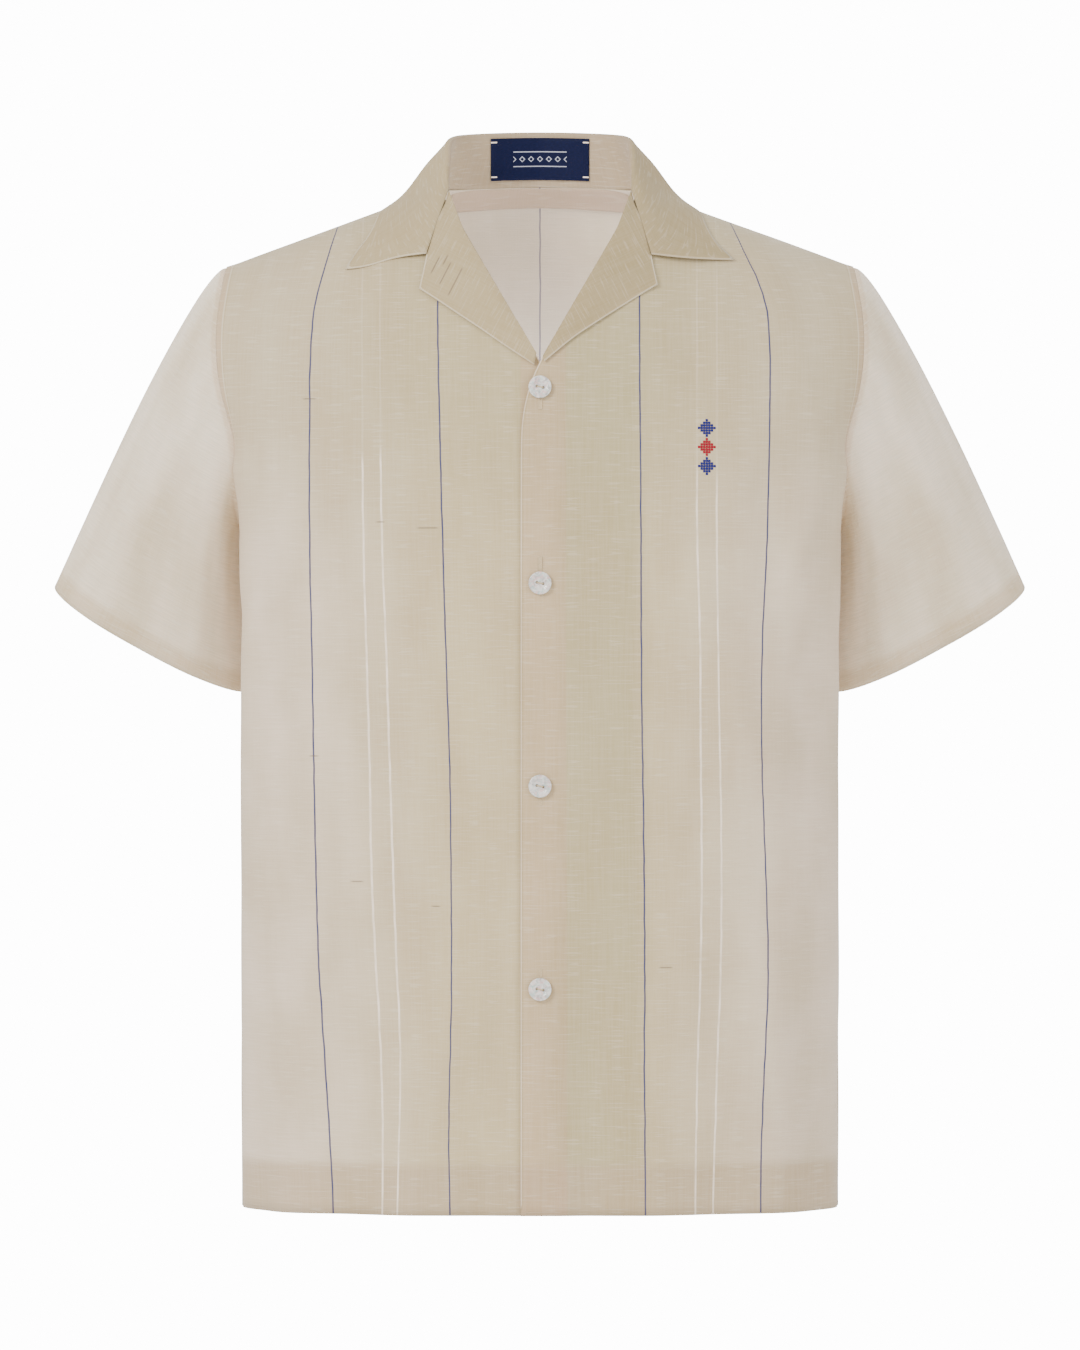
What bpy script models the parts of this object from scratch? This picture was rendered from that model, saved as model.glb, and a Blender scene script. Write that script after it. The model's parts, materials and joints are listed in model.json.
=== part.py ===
"""A short-sleeved barong tagalog shirt in sheer cloth, hollow and filled out as when worn.

Metres, +Z up. The front faces -Y and the wearer's left is at +X. The origin is midway between the two
inner shoulder points, where the wearer's shoulders hold the shirt up. Tables are in millimetres.
"""

import math

import bmesh
import bpy
import numpy as np
from mathutils import Matrix, Vector

MM = 0.001

# ---------------------------------------------------------------- driving sizes, in millimetres
WALL = 1.2  # thickness of a wall of cloth
SEAM_EASE = 0.3  # each side of a side seam stops this far short of it
SHOULDER_EASE = 0.95
ARMHOLE_EASE = 0.4
GORGE_EASE = 0.7
HEM_Z = -677.0
ARMPIT_Z = -236.0
SHOULDER_X, SHOULDER_Z = 208.0, -52.5  # outer end of the shoulder seam
NECK_X, NECK_Z = 68.0, -1.0  # inner end of the shoulder seam
NECK_BACK_Y, NECK_BACK_Z = 68.0, 4.0  # middle of the back neckline
CHEST_DEPTH, BACK_DEPTH = 118.0, 112.0
ROUNDNESS = 2.3  # exponent of the body's sections: 2 is an ellipse
OVERLAP = 12.6  # each front passes the middle by this much
BREAK_Z = -118.5  # where the front edges open into the lapels
UNDERLAP_DROP = 2.2  # the right front lies this far inside the left one
UNDERLAP_FADE = 45.0  # and has come out again this far from the middle
UNDERLAP_LEVELS = (0.4744, 0.62)  # or at the upper one of these levels over the armpits

# Body sections between hem and armpit: half width, and y of the widest place.
BODY = {
    "level": (-1.0, -0.6, -0.35, -0.14, 0.0),
    "half_width": (199.0, 199.0, 199.0, 199.5, 200.0),
    "widest_y": (0.0, -4.0, -14.0, -26.0, -30.0),
}
# How far the sleeve presses the body's side in, by height.
DENT = {"z": (-430.0, -340.0, -286.0, -236.0, -199.0, -180.0), "depth": (0.0, 3.0, 6.0, 7.0, 2.0, 0.0)}
DENT_Y, DENT_REACH = 25.0, 60.0
SIDE_SEAM_Y = 6.0

# The armhole from armpit (0) to shoulder (1), with y of the section's widest place there.
FRONT_ARMHOLE = {
    "level": (0.0, 0.08, 0.20, 0.35, 0.42, 0.53, 0.67, 0.76, 0.89, 0.96, 1.0),
    "x": (196.3, 199.5, 200.0, 200.0, 204.0, 210.0, 213.5, 214.0, 211.5, 209.5, 208.0),
    "y": (6.0, -20.0, -38.0, -48.0, -52.0, -53.0, -50.0, -44.0, -29.0, -16.0, 0.0),
    "widest_y": (-30.0, -34.0, -40.0, -46.0, -46.0, -40.0, -25.0, -15.0, -8.0, -3.0, 0.0),
}
BACK_ARMHOLE = {
    "level": (0.0, 0.08, 0.20, 0.35, 0.53, 0.67, 0.76, 0.89, 0.96, 1.0),
    "x": (196.3, 198.0, 200.0, 204.0, 208.0, 210.0, 210.5, 210.0, 209.0, 208.0),
    "y": (6.0, 26.0, 42.0, 54.0, 58.0, 56.0, 50.0, 33.0, 18.0, 0.0),
    "widest_y": (-30.0, -28.5, -22.0, -6.0, 13.0, 18.0, 15.0, 8.0, 3.0, 0.0),
}
# The inner edge of a front: its level on the row that ends at a level of the side, and x of its lower part.
FRONT_EDGE = {"level": (0.0, 0.389, 0.5, 1.0), "inner": (0.0, 0.405, 0.4744, 1.0)}
FRONT_CORNER = {"z": (-240.0, -146.0, -127.0, -118.5), "x": (-12.6, -12.4, -4.6, 0.0)}
# How the chest and the back round over to the shoulder, as exponents of a superellipse.
CHEST_POWER, CHEST_ROOT = 2.2, 1.9
BACK_POWER, BACK_ROOT = 2.6, 2.1
NECK_POWER = 4.0  # how late the back comes in to the neck
NECK_REACH, NECK_FADE = 330.0, 1.5  # how far down and out the neckline holds the back off the shoulder line

ROWS_BELOW, ROWS_ABOVE = 7, 14
FRONT_COLUMNS, BACK_COLUMNS_NECK, BACK_COLUMNS_SIDE = 16, 6, 11

SLEEVE = {"cuff_outer": (323.8, 42.0, -264.0), "cuff_inner": (195.0, 42.0, -334.0), "cuff_depth": 51.0}
CUFF_TILT = 11.5  # degrees that the front of the cuff drops along the arm
CUFF_ROUNDNESS = 2.2
SLEEVE_ROWS, SLEEVE_CROWDING = 11, 1.25  # the rows crowd towards the armhole
SLEEVE_RUN = 33.0  # how strongly the body's own direction carries on into the sleeve
SLEEVE_BULGE = 5.2  # how far its upper side is rounded outwards, midway down the arm
ARM_CLEARANCE = 2.5  # between the sleeve and the body's side, up to this far over the armpit:
ARM_CLEARANCE_REACH = 40.0

# The collar from its front end (0) round to the middle of the back (1): where it is sewn on, where it folds
# over, halfway down the fall, and its outer edge. A lift is the clearance over the shirt below it.
COLLAR = {
    "station": (0.0, 0.15, 0.3, 0.45, 0.6, 0.75, 0.88, 1.0),
    "sewn_x": (61.0, 64.5, 67.0, 68.0, 66.0, 56.0, 34.0, 0.0),
    "sewn_y": (-25.0, -16.0, -7.0, 3.0, 19.0, 39.0, 58.5, 67.5),
    "sewn_z": (-3.5, -1.0, -0.6, -0.5, -0.3, 1.0, 3.15, 4.4),
    "fold_x": (60.5, 61.2, 61.6, 61.0, 58.0, 49.0, 28.0, 0.0),
    "fold_y": (-28.0, -20.0, -8.0, 7.0, 24.0, 43.0, 60.0, 69.0),
    "fold_z": (-1.0, 10.0, 22.0, 31.5, 36.0, 38.5, 40.5, 41.5),
    "half_x": (75.0, 87.5, 90.5, 88.5, 81.0, 65.0, 36.5, 0.0),
    "half_y": (None, None, None, 8.0, 32.0, 55.0, 73.0, 81.0),
    "half_z": (-46.5, -28.0, -9.0, 4.0, 8.0, 11.0, 13.0, 14.0),
    "edge_x": (129.7, 120.0, 111.0, 104.5, 96.5, 77.0, 43.0, 0.0),
    "edge_y": (None, None, None, 6.0, 37.0, 63.0, 82.0, 88.0),
    "edge_z": (-54.5, -39.5, -25.5, -11.5, -14.5, -11.5, -7.5, -5.5),
}
FOLD_RADIUS = {"station": (0.0, 0.2, 1.0), "radius": (1.7, 2.8, 3.0)}
COLLAR_COLUMNS, STAND_ROWS, FOLD_ROWS, FALL_ROWS = 14, 4, 4, 8
GORGE_SHARE = 0.5  # share of the fall's rows whose front ends are sewn to the lapel

# The collar's free front edge from the notch (0) to the tip (1), seen from the front, for each side.
COLLAR_FRONT = {
    "left": {"share": (0.0, 0.5, 1.0), "x": (73.5, 100.0, 129.7), "z": (-47.2, -49.0, -48.6)},
    "right": {
        "share": (0.0, 0.25, 0.5, 0.8, 1.0),
        "x": (75.0, 86.5, 99.8, 117.0, 129.7),
        "z": (-46.6, -47.4, -49.4, -54.6, -54.8),
    },
}
# The lapel from the break (0) to the gorge seam (1), seen from the front: its roll line and its outer edge.
LAPEL = {
    "left": {
        "share": (0.0, 0.22, 0.44, 7 / 9, 1.0),
        "roll_x": (1.8, 16.5, 30.5, 51.5, 59.8),
        "roll_z": (-115.0, -89.0, -64.5, -28.0, -3.0),
        "edge_x": (3.0, 21.5, 43.0, 77.8, 73.5),
        "edge_z": (-119.0, -103.2, -88.6, -66.5, -47.2),
    },
    "right": {
        "share": (0.0, 0.22, 0.44, 7 / 9, 1.0),
        "roll_x": (2.4, 16.5, 30.5, 51.5, 59.8),
        "roll_z": (-113.5, -89.0, -64.5, -28.0, -3.0),
        "edge_x": (4.0, 26.0, 47.0, 79.8, 75.0),
        "edge_z": (-120.5, -106.0, -91.5, -69.2, -46.6),
    },
}
LAPEL_COLUMNS, LAPEL_ROWS = 9, 6
STEEPEST = 2.5  # most that a slope counts for in a lift
LIFT_LEAST = 2.2  # between the fall and the shirt
LIFT_ROLL, LIFT_EDGE, LIFT_TIP = 2.6, 3.7, 4.4  # outer face of the turned cloth over the front below it

NECK_BAND = {"reach": 60.0, "depth": 9.8, "top": 0.8, "gap": 2.2, "wall": 1.0, "columns": 16, "rows": 3}
LABEL = {"half_width": 32.8, "top": 0.96, "bottom": 0.13, "gap": 0.8, "wall": 1.0, "columns": 12, "rows": 3}
BUTTON_Z = (-136.0, -264.0, -396.5, -529.0)
BUTTON_RADIUS, BUTTON_THICKNESS, BUTTON_STANDOFF = 7.8, 2.4, 0.8
BUTTON_PROFILE = {  # from the middle of the face round to the middle of the back, as shares of the sizes
    "radius": (0.0, 0.5, 0.68, 0.9, 1.0, 1.0, 0.86, 0.0),
    "height": (0.72, 0.72, 1.0, 1.0, 0.66, 0.3, 0.0, 0.0),
}
BUTTON_HOLE_RADIUS, BUTTON_HOLE_OFFSET, BUTTON_TURN = 0.9, 2.1, 12.0
BUTTON_FACETS, BUTTON_HOLE_FACETS = 20, 8

CLOTH = "sheer cream cloth"
COLOURS = {
    CLOTH: ((0.60, 0.54, 0.44, 1.0), 0.75),
    "navy woven label": ((0.015, 0.02, 0.09, 1.0), 0.7),
    "mother of pearl": ((0.75, 0.73, 0.70, 1.0), 0.25),
}


# ---------------------------------------------------------------- helpers
def smooth(table, column, at, key="level"):
    """A table's column at a place between its rows, on a curve through them that adds no bumps."""
    keys, values = np.array(table[key], float), np.array(table[column], float)
    steps = np.diff(keys)
    slopes = np.diff(values) / steps
    both = slopes[:-1] * slopes[1:]
    total = np.where(both > 0, slopes[:-1] + slopes[1:], 1.0)
    inner = np.where(both > 0, 2 * both / total, 0.0)
    tangents = np.concatenate([slopes[:1], inner, slopes[-1:]])
    i = int(np.clip(np.searchsorted(keys, at) - 1, 0, len(keys) - 2))
    t, h = np.clip((at - keys[i]) / steps[i], 0.0, 1.0), steps[i]
    start = (2 * t**3 - 3 * t**2 + 1) * values[i] + (t**3 - 2 * t**2 + t) * h * tangents[i]
    end = (3 * t**2 - 2 * t**3) * values[i + 1] + (t**3 - t**2) * h * tangents[i + 1]
    return float(start + end)


def ramp(value, low, high):
    t = min(max((value - low) / (high - low), 0.0), 1.0)
    return t * t * (3 - 2 * t)


def power(value, exponent):
    return math.copysign(abs(value) ** exponent, value)


def dent(y, z):
    """How far the sleeve presses the body's side in at this place."""
    across = (y - DENT_Y) / DENT_REACH
    if abs(across) >= 1:
        return 0.0
    return smooth(DENT, "depth", z, "z") * math.cos(across * math.pi / 2) ** 2


# ---------------------------------------------------------------- the body's form
def top_z(x):
    """Height of the shoulder line, carried on inwards to the middle."""
    slope = (NECK_Z - SHOULDER_Z) / (SHOULDER_X - NECK_X)
    return NECK_Z - slope * (abs(x) - NECK_X)


def back_top_z(x):
    """Height of the back's upper edge: the shoulder line and, between the shoulders, the neckline."""
    if abs(x) >= NECK_X:
        return top_z(x)
    return NECK_Z + (NECK_BACK_Z - NECK_Z) * (1 - (x / NECK_X) ** 2)


def slope_share(level, exponent, root):
    """Share of the depth at the armpits that is left at a level over them."""
    return max(0.0, 1 - max(level, 0.0) ** exponent) ** (1 / root)


def section(level, armhole):
    """(half width, y of the widest place, front y, back y, angle at the side seam or armhole), in a quarter
    where 0 degrees is the middle of the front, 90 the widest place and 180 the middle of the back."""
    front = -CHEST_DEPTH * slope_share(level, CHEST_POWER, CHEST_ROOT)
    back = BACK_DEPTH * slope_share(level, BACK_POWER, BACK_ROOT)
    if level >= 1:
        return SHOULDER_X, 0.0, 0.0, 0.0, 90.0
    if level <= 0:
        widest, side_y = smooth(BODY, "widest_y", level), SIDE_SEAM_Y
    else:
        widest, side_y = smooth(armhole, "widest_y", level), smooth(armhole, "y", level)
    depth = front if side_y < widest else back
    share = abs((side_y - widest) / (depth - widest)) ** (ROUNDNESS / 2)
    turn = math.degrees(math.asin(min(share, 1.0)))
    angle = 90 - turn if side_y < widest else 90 + turn
    if level <= 0:
        half = smooth(BODY, "half_width", level)
    else:
        half = smooth(armhole, "x", level) / math.sin(math.radians(angle)) ** (2 / ROUNDNESS)
    return half, widest, front, back, angle


def neck_swell(x, level):
    """How far the neckline holds the upper back away from the shoulder line."""
    reach = NECK_X + NECK_REACH * (1 - level)
    inside = max(0.0, 1 - (x / reach) ** 2)
    return NECK_BACK_Y * level**NECK_POWER * inside ** (0.5 + NECK_FADE * (1 - level))


def body_point(level, angle, armhole):
    """A point of the body's outer face on the wearer's left half."""
    half, widest, front, back, _ = section(level, armhole)
    turn = math.radians(angle)
    x = half * power(math.sin(turn), 2 / ROUNDNESS)
    y = widest + ((front if angle <= 90 else back) - widest) * abs(math.cos(turn)) ** (2 / ROUNDNESS)
    if level <= 0:
        z = ARMPIT_Z + (ARMPIT_Z - HEM_Z) * level
    else:
        top = back_top_z(x) if armhole is BACK_ARMHOLE else top_z(x)
        z = ARMPIT_Z + level * (top - ARMPIT_Z)
        if armhole is BACK_ARMHOLE:
            y += neck_swell(x, level)
    return np.array([x - math.copysign(dent(y, z), x), y, z])


def side_angle(level, armhole):
    return section(level, armhole)[4]


def angle_at(x, level, armhole):
    half = section(level, armhole)[0]
    return math.degrees(math.asin(min(abs(x) / half, 1.0) ** (ROUNDNESS / 2))) * math.copysign(1, x)


def front_y(x, z):
    """Depth of the front's outer face behind a place seen from the front."""
    level = (z - ARMPIT_Z) / (top_z(x) - ARMPIT_Z) if z > ARMPIT_Z else (z - ARMPIT_Z) / (ARMPIT_Z - HEM_Z)
    half, widest, front, _, _ = section(level, FRONT_ARMHOLE)
    inside = max(0.0, 1 - min(abs(x) / half, 1.0) ** ROUNDNESS)
    return widest + (front - widest) * inside ** (1 / ROUNDNESS)


def back_y(x, z):
    level = min((z - ARMPIT_Z) / (back_top_z(x) - ARMPIT_Z), 1.0)
    half, widest, _, back, _ = section(level, BACK_ARMHOLE)
    inside = max(0.0, 1 - min(abs(x) / half, 1.0) ** ROUNDNESS)
    return widest + (back - widest) * inside ** (1 / ROUNDNESS) + neck_swell(x, level)


# ---------------------------------------------------------------- making solids
def collection(name):
    made = bpy.data.collections.new(name)
    bpy.context.scene.collection.children.link(made)
    return made


def material(name):
    colour, roughness = COLOURS[name]
    made = bpy.data.materials.get(name) or bpy.data.materials.new(name)
    made.use_nodes = True
    shader = made.node_tree.nodes["Principled BSDF"]
    shader.inputs["Base Color"].default_value = colour
    shader.inputs["Roughness"].default_value = roughness
    shader.inputs["Metallic"].default_value = 0.0
    return made


def cloth(name, grid, wall=WALL, joined=False, finish=CLOTH, turned=False):
    """A wall of cloth from a grid of points of its outer face: rows upwards, columns to the viewer's right as
    seen from outside. A joined grid closes on itself, and a turned one has its columns the other way."""
    grid = np.array(grid)
    if turned:
        grid = grid[:, ::-1]
    rows, columns = grid.shape[:2]
    sheet = bmesh.new()
    bmesh.ops.create_grid(sheet, x_segments=columns - 1, y_segments=rows - 1, size=1.0)
    for vert in sheet.verts:
        column = round((vert.co.x + 1) / 2 * (columns - 1))
        row = round((vert.co.y + 1) / 2 * (rows - 1))
        vert.co = Vector(grid[row, column]) * MM
    if joined:
        bmesh.ops.remove_doubles(sheet, verts=sheet.verts, dist=1e-5)
    mesh = bpy.data.meshes.new(name)
    sheet.to_mesh(mesh)
    sheet.free()
    mesh.shade_smooth()
    piece = bpy.data.objects.new(name, mesh)
    PARTS.objects.link(piece)
    mesh.materials.append(material(finish))
    thicken = piece.modifiers.new("Wall", "SOLIDIFY")
    thicken.thickness = wall * MM
    thicken.offset = -1.0


def eased(grid, bottom=0.0, top=0.0, first=0.0, last=0.0):
    """The grid with its edges drawn back by these distances, so that pieces don't meet at a seam."""
    grid = np.array(grid, float)
    for lines, by in ((grid, bottom), (grid[::-1], top)):
        step = lines[1] - lines[0]
        lines[0] += step * by / np.linalg.norm(step, axis=1, keepdims=True)
    for lines, by in ((grid.transpose(1, 0, 2), first), (grid[:, ::-1].transpose(1, 0, 2), last)):
        step = lines[1] - lines[0]
        lines[0] += step * by / np.linalg.norm(step, axis=1, keepdims=True)
    return grid


def mirrored(grid, side):
    """The grid for that side: the right one is the left one seen in a mirror."""
    return np.array(grid) * np.array([side, 1, 1])


# ---------------------------------------------------------------- fronts and back
def levels():
    """The rows' levels from hem to shoulder. Over the armpit they are spaced as round the armhole."""
    below = [-1 + i / ROWS_BELOW for i in range(ROWS_BELOW)]
    return below + [(1 - math.cos(math.pi * i / ROWS_ABOVE)) / 2 for i in range(ROWS_ABOVE + 1)]


def front_edge(level):
    """(level, x) of a front's inner edge on the row that ends at this level of the side."""
    if level <= 0:
        return level, -OVERLAP
    inner = smooth(FRONT_EDGE, "inner", level)
    slope = (NECK_Z - SHOULDER_Z) / (SHOULDER_X - NECK_X)
    run = NECK_X / (NECK_Z - BREAK_Z)
    middle_z = ARMPIT_Z + inner * (top_z(0) - ARMPIT_Z)
    neckline_x = run * (middle_z - BREAK_Z) / (1 + run * inner * slope)
    return inner, max(neckline_x, smooth(FRONT_CORNER, "x", middle_z, "z"))


def front_grid(underlap):
    grid = []
    for level in levels():
        inner, inner_x = front_edge(level)
        start, end = angle_at(inner_x, inner, FRONT_ARMHOLE), side_angle(level, FRONT_ARMHOLE)
        row = []
        for share in np.linspace(0, 1, FRONT_COLUMNS + 1):
            at = inner + (level - inner) * share
            point = body_point(at, start + (end - start) * share, FRONT_ARMHOLE)
            if share == 1:
                point = body_point(level, end, FRONT_ARMHOLE)
            drop = UNDERLAP_DROP * underlap * (1 - ramp(at, *UNDERLAP_LEVELS))
            point[1] += drop * (1 - ramp(point[0], OVERLAP, UNDERLAP_FADE))
            row.append(point)
        grid.append(row)
    return grid


def front(name, side):
    grid = eased(mirrored(front_grid(side < 0), side), top=SHOULDER_EASE, last=SEAM_EASE)
    cloth(name, grid, turned=side < 0)


def back_half():
    grid = []
    for level in levels():
        neck, end = 180 - angle_at(NECK_X, level, BACK_ARMHOLE), side_angle(level, BACK_ARMHOLE)
        row = []
        for i in range(BACK_COLUMNS_NECK):
            x = NECK_X * math.sin(math.pi / 2 * i / BACK_COLUMNS_NECK)
            row.append(body_point(level, 180 - angle_at(x, level, BACK_ARMHOLE), BACK_ARMHOLE))
        for share in np.linspace(0, 1, BACK_COLUMNS_SIDE + 1):
            row.append(body_point(level, neck + (end - neck) * share, BACK_ARMHOLE))
        grid.append(row)
    return np.array(grid)


def back():
    left = back_half()
    whole = np.concatenate([left[:, :0:-1], mirrored(left, -1)], axis=1)
    cloth("back", eased(whole, top=SHOULDER_EASE, first=SEAM_EASE, last=SEAM_EASE))


# ---------------------------------------------------------------- sleeves
def armhole_loop():
    """Points round the armhole, from the shoulder down the front to the armpit and up the back."""
    above = levels()[ROWS_BELOW:]
    down = [body_point(a, side_angle(a, FRONT_ARMHOLE), FRONT_ARMHOLE) for a in reversed(above)]
    up = [body_point(a, side_angle(a, BACK_ARMHOLE), BACK_ARMHOLE) for a in above[1:]]
    return np.array(down + up)


def armhole_run():
    """For each point round the armhole, the way in which the body's cloth runs on past it."""
    above = levels()[ROWS_BELOW:]

    def run(level, armhole, turn):
        end = side_angle(level, armhole)
        step = body_point(level, end, armhole) - body_point(level, end + turn, armhole)
        over = ramp(level, 0.3, 0.6)
        return over * step / np.linalg.norm(step) + (1 - over) * np.array([1.0, 0.15, 0.45])

    down = [run(a, FRONT_ARMHOLE, -2.0) for a in reversed(above)]
    up = [run(a, BACK_ARMHOLE, 2.0) for a in above[1:]]
    down[0] = up[-1] = np.array([0.94, 0.0, -0.34])
    return np.array(down + up)


def cuff_loop():
    outer, inner = np.array(SLEEVE["cuff_outer"]), np.array(SLEEVE["cuff_inner"])
    centre, half = (outer + inner) / 2, (outer - inner) / 2
    down_arm = np.array([half[2], 0.0, -half[0]]) / np.linalg.norm(half)
    tilt = math.radians(CUFF_TILT)
    forward = np.array([0.0, -math.cos(tilt), 0.0]) + down_arm * math.sin(tilt)
    loop = []
    for turn in np.linspace(0, 2 * math.pi, 2 * ROWS_ABOVE + 1):
        out = half * power(math.cos(turn), 2 / CUFF_ROUNDNESS)
        ahead = forward * SLEEVE["cuff_depth"] * power(math.sin(turn), 2 / CUFF_ROUNDNESS)
        loop.append(centre + out + ahead)
    return np.array(loop)


def body_side(y, z):
    """x of the body's outer face at its side, under the armpit."""
    level = min((z - ARMPIT_Z) / (ARMPIT_Z - HEM_Z), 0.0)
    half, widest, front, back, _ = section(level, FRONT_ARMHOLE)
    share = (y - widest) / ((front if y < widest else back) - widest)
    return half * max(0.0, 1 - min(abs(share), 1.0) ** ROUNDNESS) ** (1 / ROUNDNESS) - dent(y, z)


def sleeve_grid():
    """Rows from armhole to cuff. They leave the armhole the way the body's cloth runs, then turn down."""
    start, leave, end = armhole_loop(), armhole_run() * SLEEVE_RUN, cuff_loop()
    outward = np.array(SLEEVE["cuff_outer"]) - np.array(SLEEVE["cuff_inner"])
    outward = outward / np.linalg.norm(outward)
    over = np.clip(np.cos(np.linspace(0, 2 * math.pi, len(start))), 0, 1) ** 2
    grid = []
    for i in range(SLEEVE_ROWS + 1):
        s = (i / SLEEVE_ROWS) ** SLEEVE_CROWDING
        row = (2 * s**3 - 3 * s**2 + 1) * start + (s**3 - 2 * s**2 + s) * leave
        row = row + (3 * s**2 - 2 * s**3) * end + (s**3 - s**2) * (end - start)
        grid.append(row + over[:, None] * outward * SLEEVE_BULGE * math.sin(math.pi * s))
    grid = np.array(grid)
    for point in grid[1:].reshape(-1, 3):
        if point[2] < ARMPIT_Z + ARM_CLEARANCE_REACH:
            point[0] = max(point[0], body_side(point[1], min(point[2], ARMPIT_Z)) + ARM_CLEARANCE)
    return grid


def sleeve(name, side):
    grid = eased(mirrored(sleeve_grid(), side), bottom=ARMHOLE_EASE)
    cloth(name, grid[::-1], joined=True, turned=side < 0)


# ---------------------------------------------------------------- collar and lapels
def lift_at(share):
    """How far the outer face of the turned cloth stands off the front, from the roll line outwards."""
    return LIFT_ROLL + (LIFT_EDGE - LIFT_ROLL) * share**1.5


def on_front(x, z, lift):
    """A place seen from the front, held this far off the front's outer face, measured square to it."""
    rise = np.hypot(front_y(x, z + 1) - front_y(x, z - 1), front_y(x + 1, z) - front_y(x - 1, z)) / 2
    return np.array([x, front_y(x, z) - lift * min(math.hypot(1, rise), STEEPEST), z])


def shirt_profile(x, behind):
    """The shirt's outer face over the armpits in the upright plane at x, as (y, z) from front to back. Where
    the neckline parts it, it is only the front's share or only the back's."""
    up = np.linspace(0.3, 1.0, 60) ** 0.5
    front_rows = [ARMPIT_Z + level * (top_z(x) - ARMPIT_Z) for level in up]
    back_rows = [ARMPIT_Z + level * (back_top_z(x) - ARMPIT_Z) for level in reversed(up)]
    before, after = [(front_y(x, z), z) for z in front_rows], [(back_y(x, z), z) for z in back_rows]
    if abs(x) >= NECK_X:
        return np.array(before + after)
    return np.array(after if behind else before)


def held_off(point, lift):
    """The point, moved out if it is nearer to the shirt's face than this."""
    x, place = point[0], point[1:]
    line = shirt_profile(x, place[0] > 0)
    i = int(np.clip(np.hypot(*(line - place).T).argmin(), 1, len(line) - 2))
    way = line[i + 1] - line[i - 1]
    outward = np.array([-way[1], way[0]]) / np.linalg.norm(way)
    clear = float(np.dot(place - line[i], outward))
    return np.array([x, *(place + outward * max(lift - clear, 0.0))])


def collar_front(side, share):
    """A point of the fall's front end: down the gorge seam to the notch, then along the free edge."""
    if share <= GORGE_SHARE:
        part = share / GORGE_SHARE
        x = COLLAR["fold_x"][0] * (1 - part) + COLLAR_FRONT[side]["x"][0] * part
        z = COLLAR["fold_z"][0] * (1 - part) + COLLAR_FRONT[side]["z"][0] * part
        return on_front(x, z, lift_at(part))
    part = (share - GORGE_SHARE) / (1 - GORGE_SHARE)
    x, z = (smooth(COLLAR_FRONT[side], column, part, "share") for column in ("x", "z"))
    return on_front(x, z, LIFT_EDGE + (LIFT_TIP - LIFT_EDGE) * part)


def collar_point(station, line):
    """The table's point on one of the collar's lines at a station, laid on the front where y is None."""
    index = COLLAR["station"].index(station)
    x, y, z = (COLLAR[f"{line}_{axis}"][index] for axis in "xyz")
    return on_front(x, z, LIFT_EDGE) if y is None else np.array([x, y, z])


def collar_section(side, station):
    """The collar's section at one of its stations: up the stand, round the fold and down the fall."""
    sewn, fold, half, edge = (collar_point(station, line) for line in ("sewn", "fold", "half", "edge"))
    radius = smooth(FOLD_RADIUS, "radius", station, "station")
    away = half - fold
    away[2] = 0.0
    away = away / np.linalg.norm(away)
    centre = fold - np.array([0.0, 0.0, radius])
    inner = centre - away * radius
    points = [sewn + (inner - sewn) * i / STAND_ROWS for i in range(STAND_ROWS)]
    for i in range(FOLD_ROWS + 1):
        turn = math.pi * i / FOLD_ROWS
        points.append(centre + radius * (np.array([0, 0, math.sin(turn)]) - away * math.cos(turn)))
    start = points[-1]
    for i in range(1, FALL_ROWS + 1):
        s = i / FALL_ROWS
        if station == 0:
            points.append(collar_front(side, s))
        else:
            curve = (1 - s) * (1 - 2 * s) * start + 4 * s * (1 - s) * half + s * (2 * s - 1) * edge
            points.append(curve)
    return np.array(points)


def collar_half(side):
    """Columns from the front end round to the middle of the back, through the stations' sections."""
    stations = COLLAR["station"]
    sections = np.array([collar_section(side, station) for station in stations])
    columns = []
    for at in np.linspace(0, 1, COLLAR_COLUMNS + 1):
        i = min(int(np.searchsorted(stations, at, side="right")) - 1, len(stations) - 2)
        before, after = max(i - 1, 0), min(i + 2, len(stations) - 1)
        span = stations[i + 1] - stations[i]
        t = (at - stations[i]) / span
        leave = (sections[i + 1] - sections[before]) / (stations[i + 1] - stations[before]) * span
        arrive = (sections[after] - sections[i]) / (stations[after] - stations[i]) * span
        if i + 2 > len(stations) - 1:
            arrive = (sections[i + 1] - sections[i]) * np.array([1.0, 0.0, 0.0])
        curve = (2 * t**3 - 3 * t**2 + 1) * sections[i] + (t**3 - 2 * t**2 + t) * leave
        column = curve + (3 * t**2 - 2 * t**3) * sections[i + 1] + (t**3 - t**2) * arrive
        if at > 0:
            fall = STAND_ROWS + FOLD_ROWS + 1
            column[fall:] = [held_off(point, LIFT_LEAST + WALL) for point in column[fall:]]
        columns.append(column)
    return np.array(columns)


def collar():
    """One wall from the right gorge round the back of the neck to the left one."""
    left, right = collar_half("left"), mirrored(collar_half("right"), -1)
    columns = np.concatenate([left, right[-2::-1]])
    cloth("collar", eased(columns.transpose(1, 0, 2), first=GORGE_EASE, last=GORGE_EASE), turned=True)


def lapel(name, side_name, side):
    """The front's facing turned out over it, between the roll line, the gorge seam and the front edge."""
    table, grid = LAPEL[side_name], []
    for across in np.linspace(0, 1, LAPEL_ROWS + 1):
        row = []
        for along in np.linspace(0, 1, LAPEL_COLUMNS + 1):
            roll, edge = ([np.interp(along, table["share"], table[f"{line}_{axis}"]) for axis in "xz"]
                          for line in ("roll", "edge"))
            x, z = np.array(roll) * (1 - across) + np.array(edge) * across
            row.append(on_front(x, z, lift_at(across)))
        grid.append(row)
    cloth(name, eased(mirrored(grid, side), last=GORGE_EASE), turned=side > 0)


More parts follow.
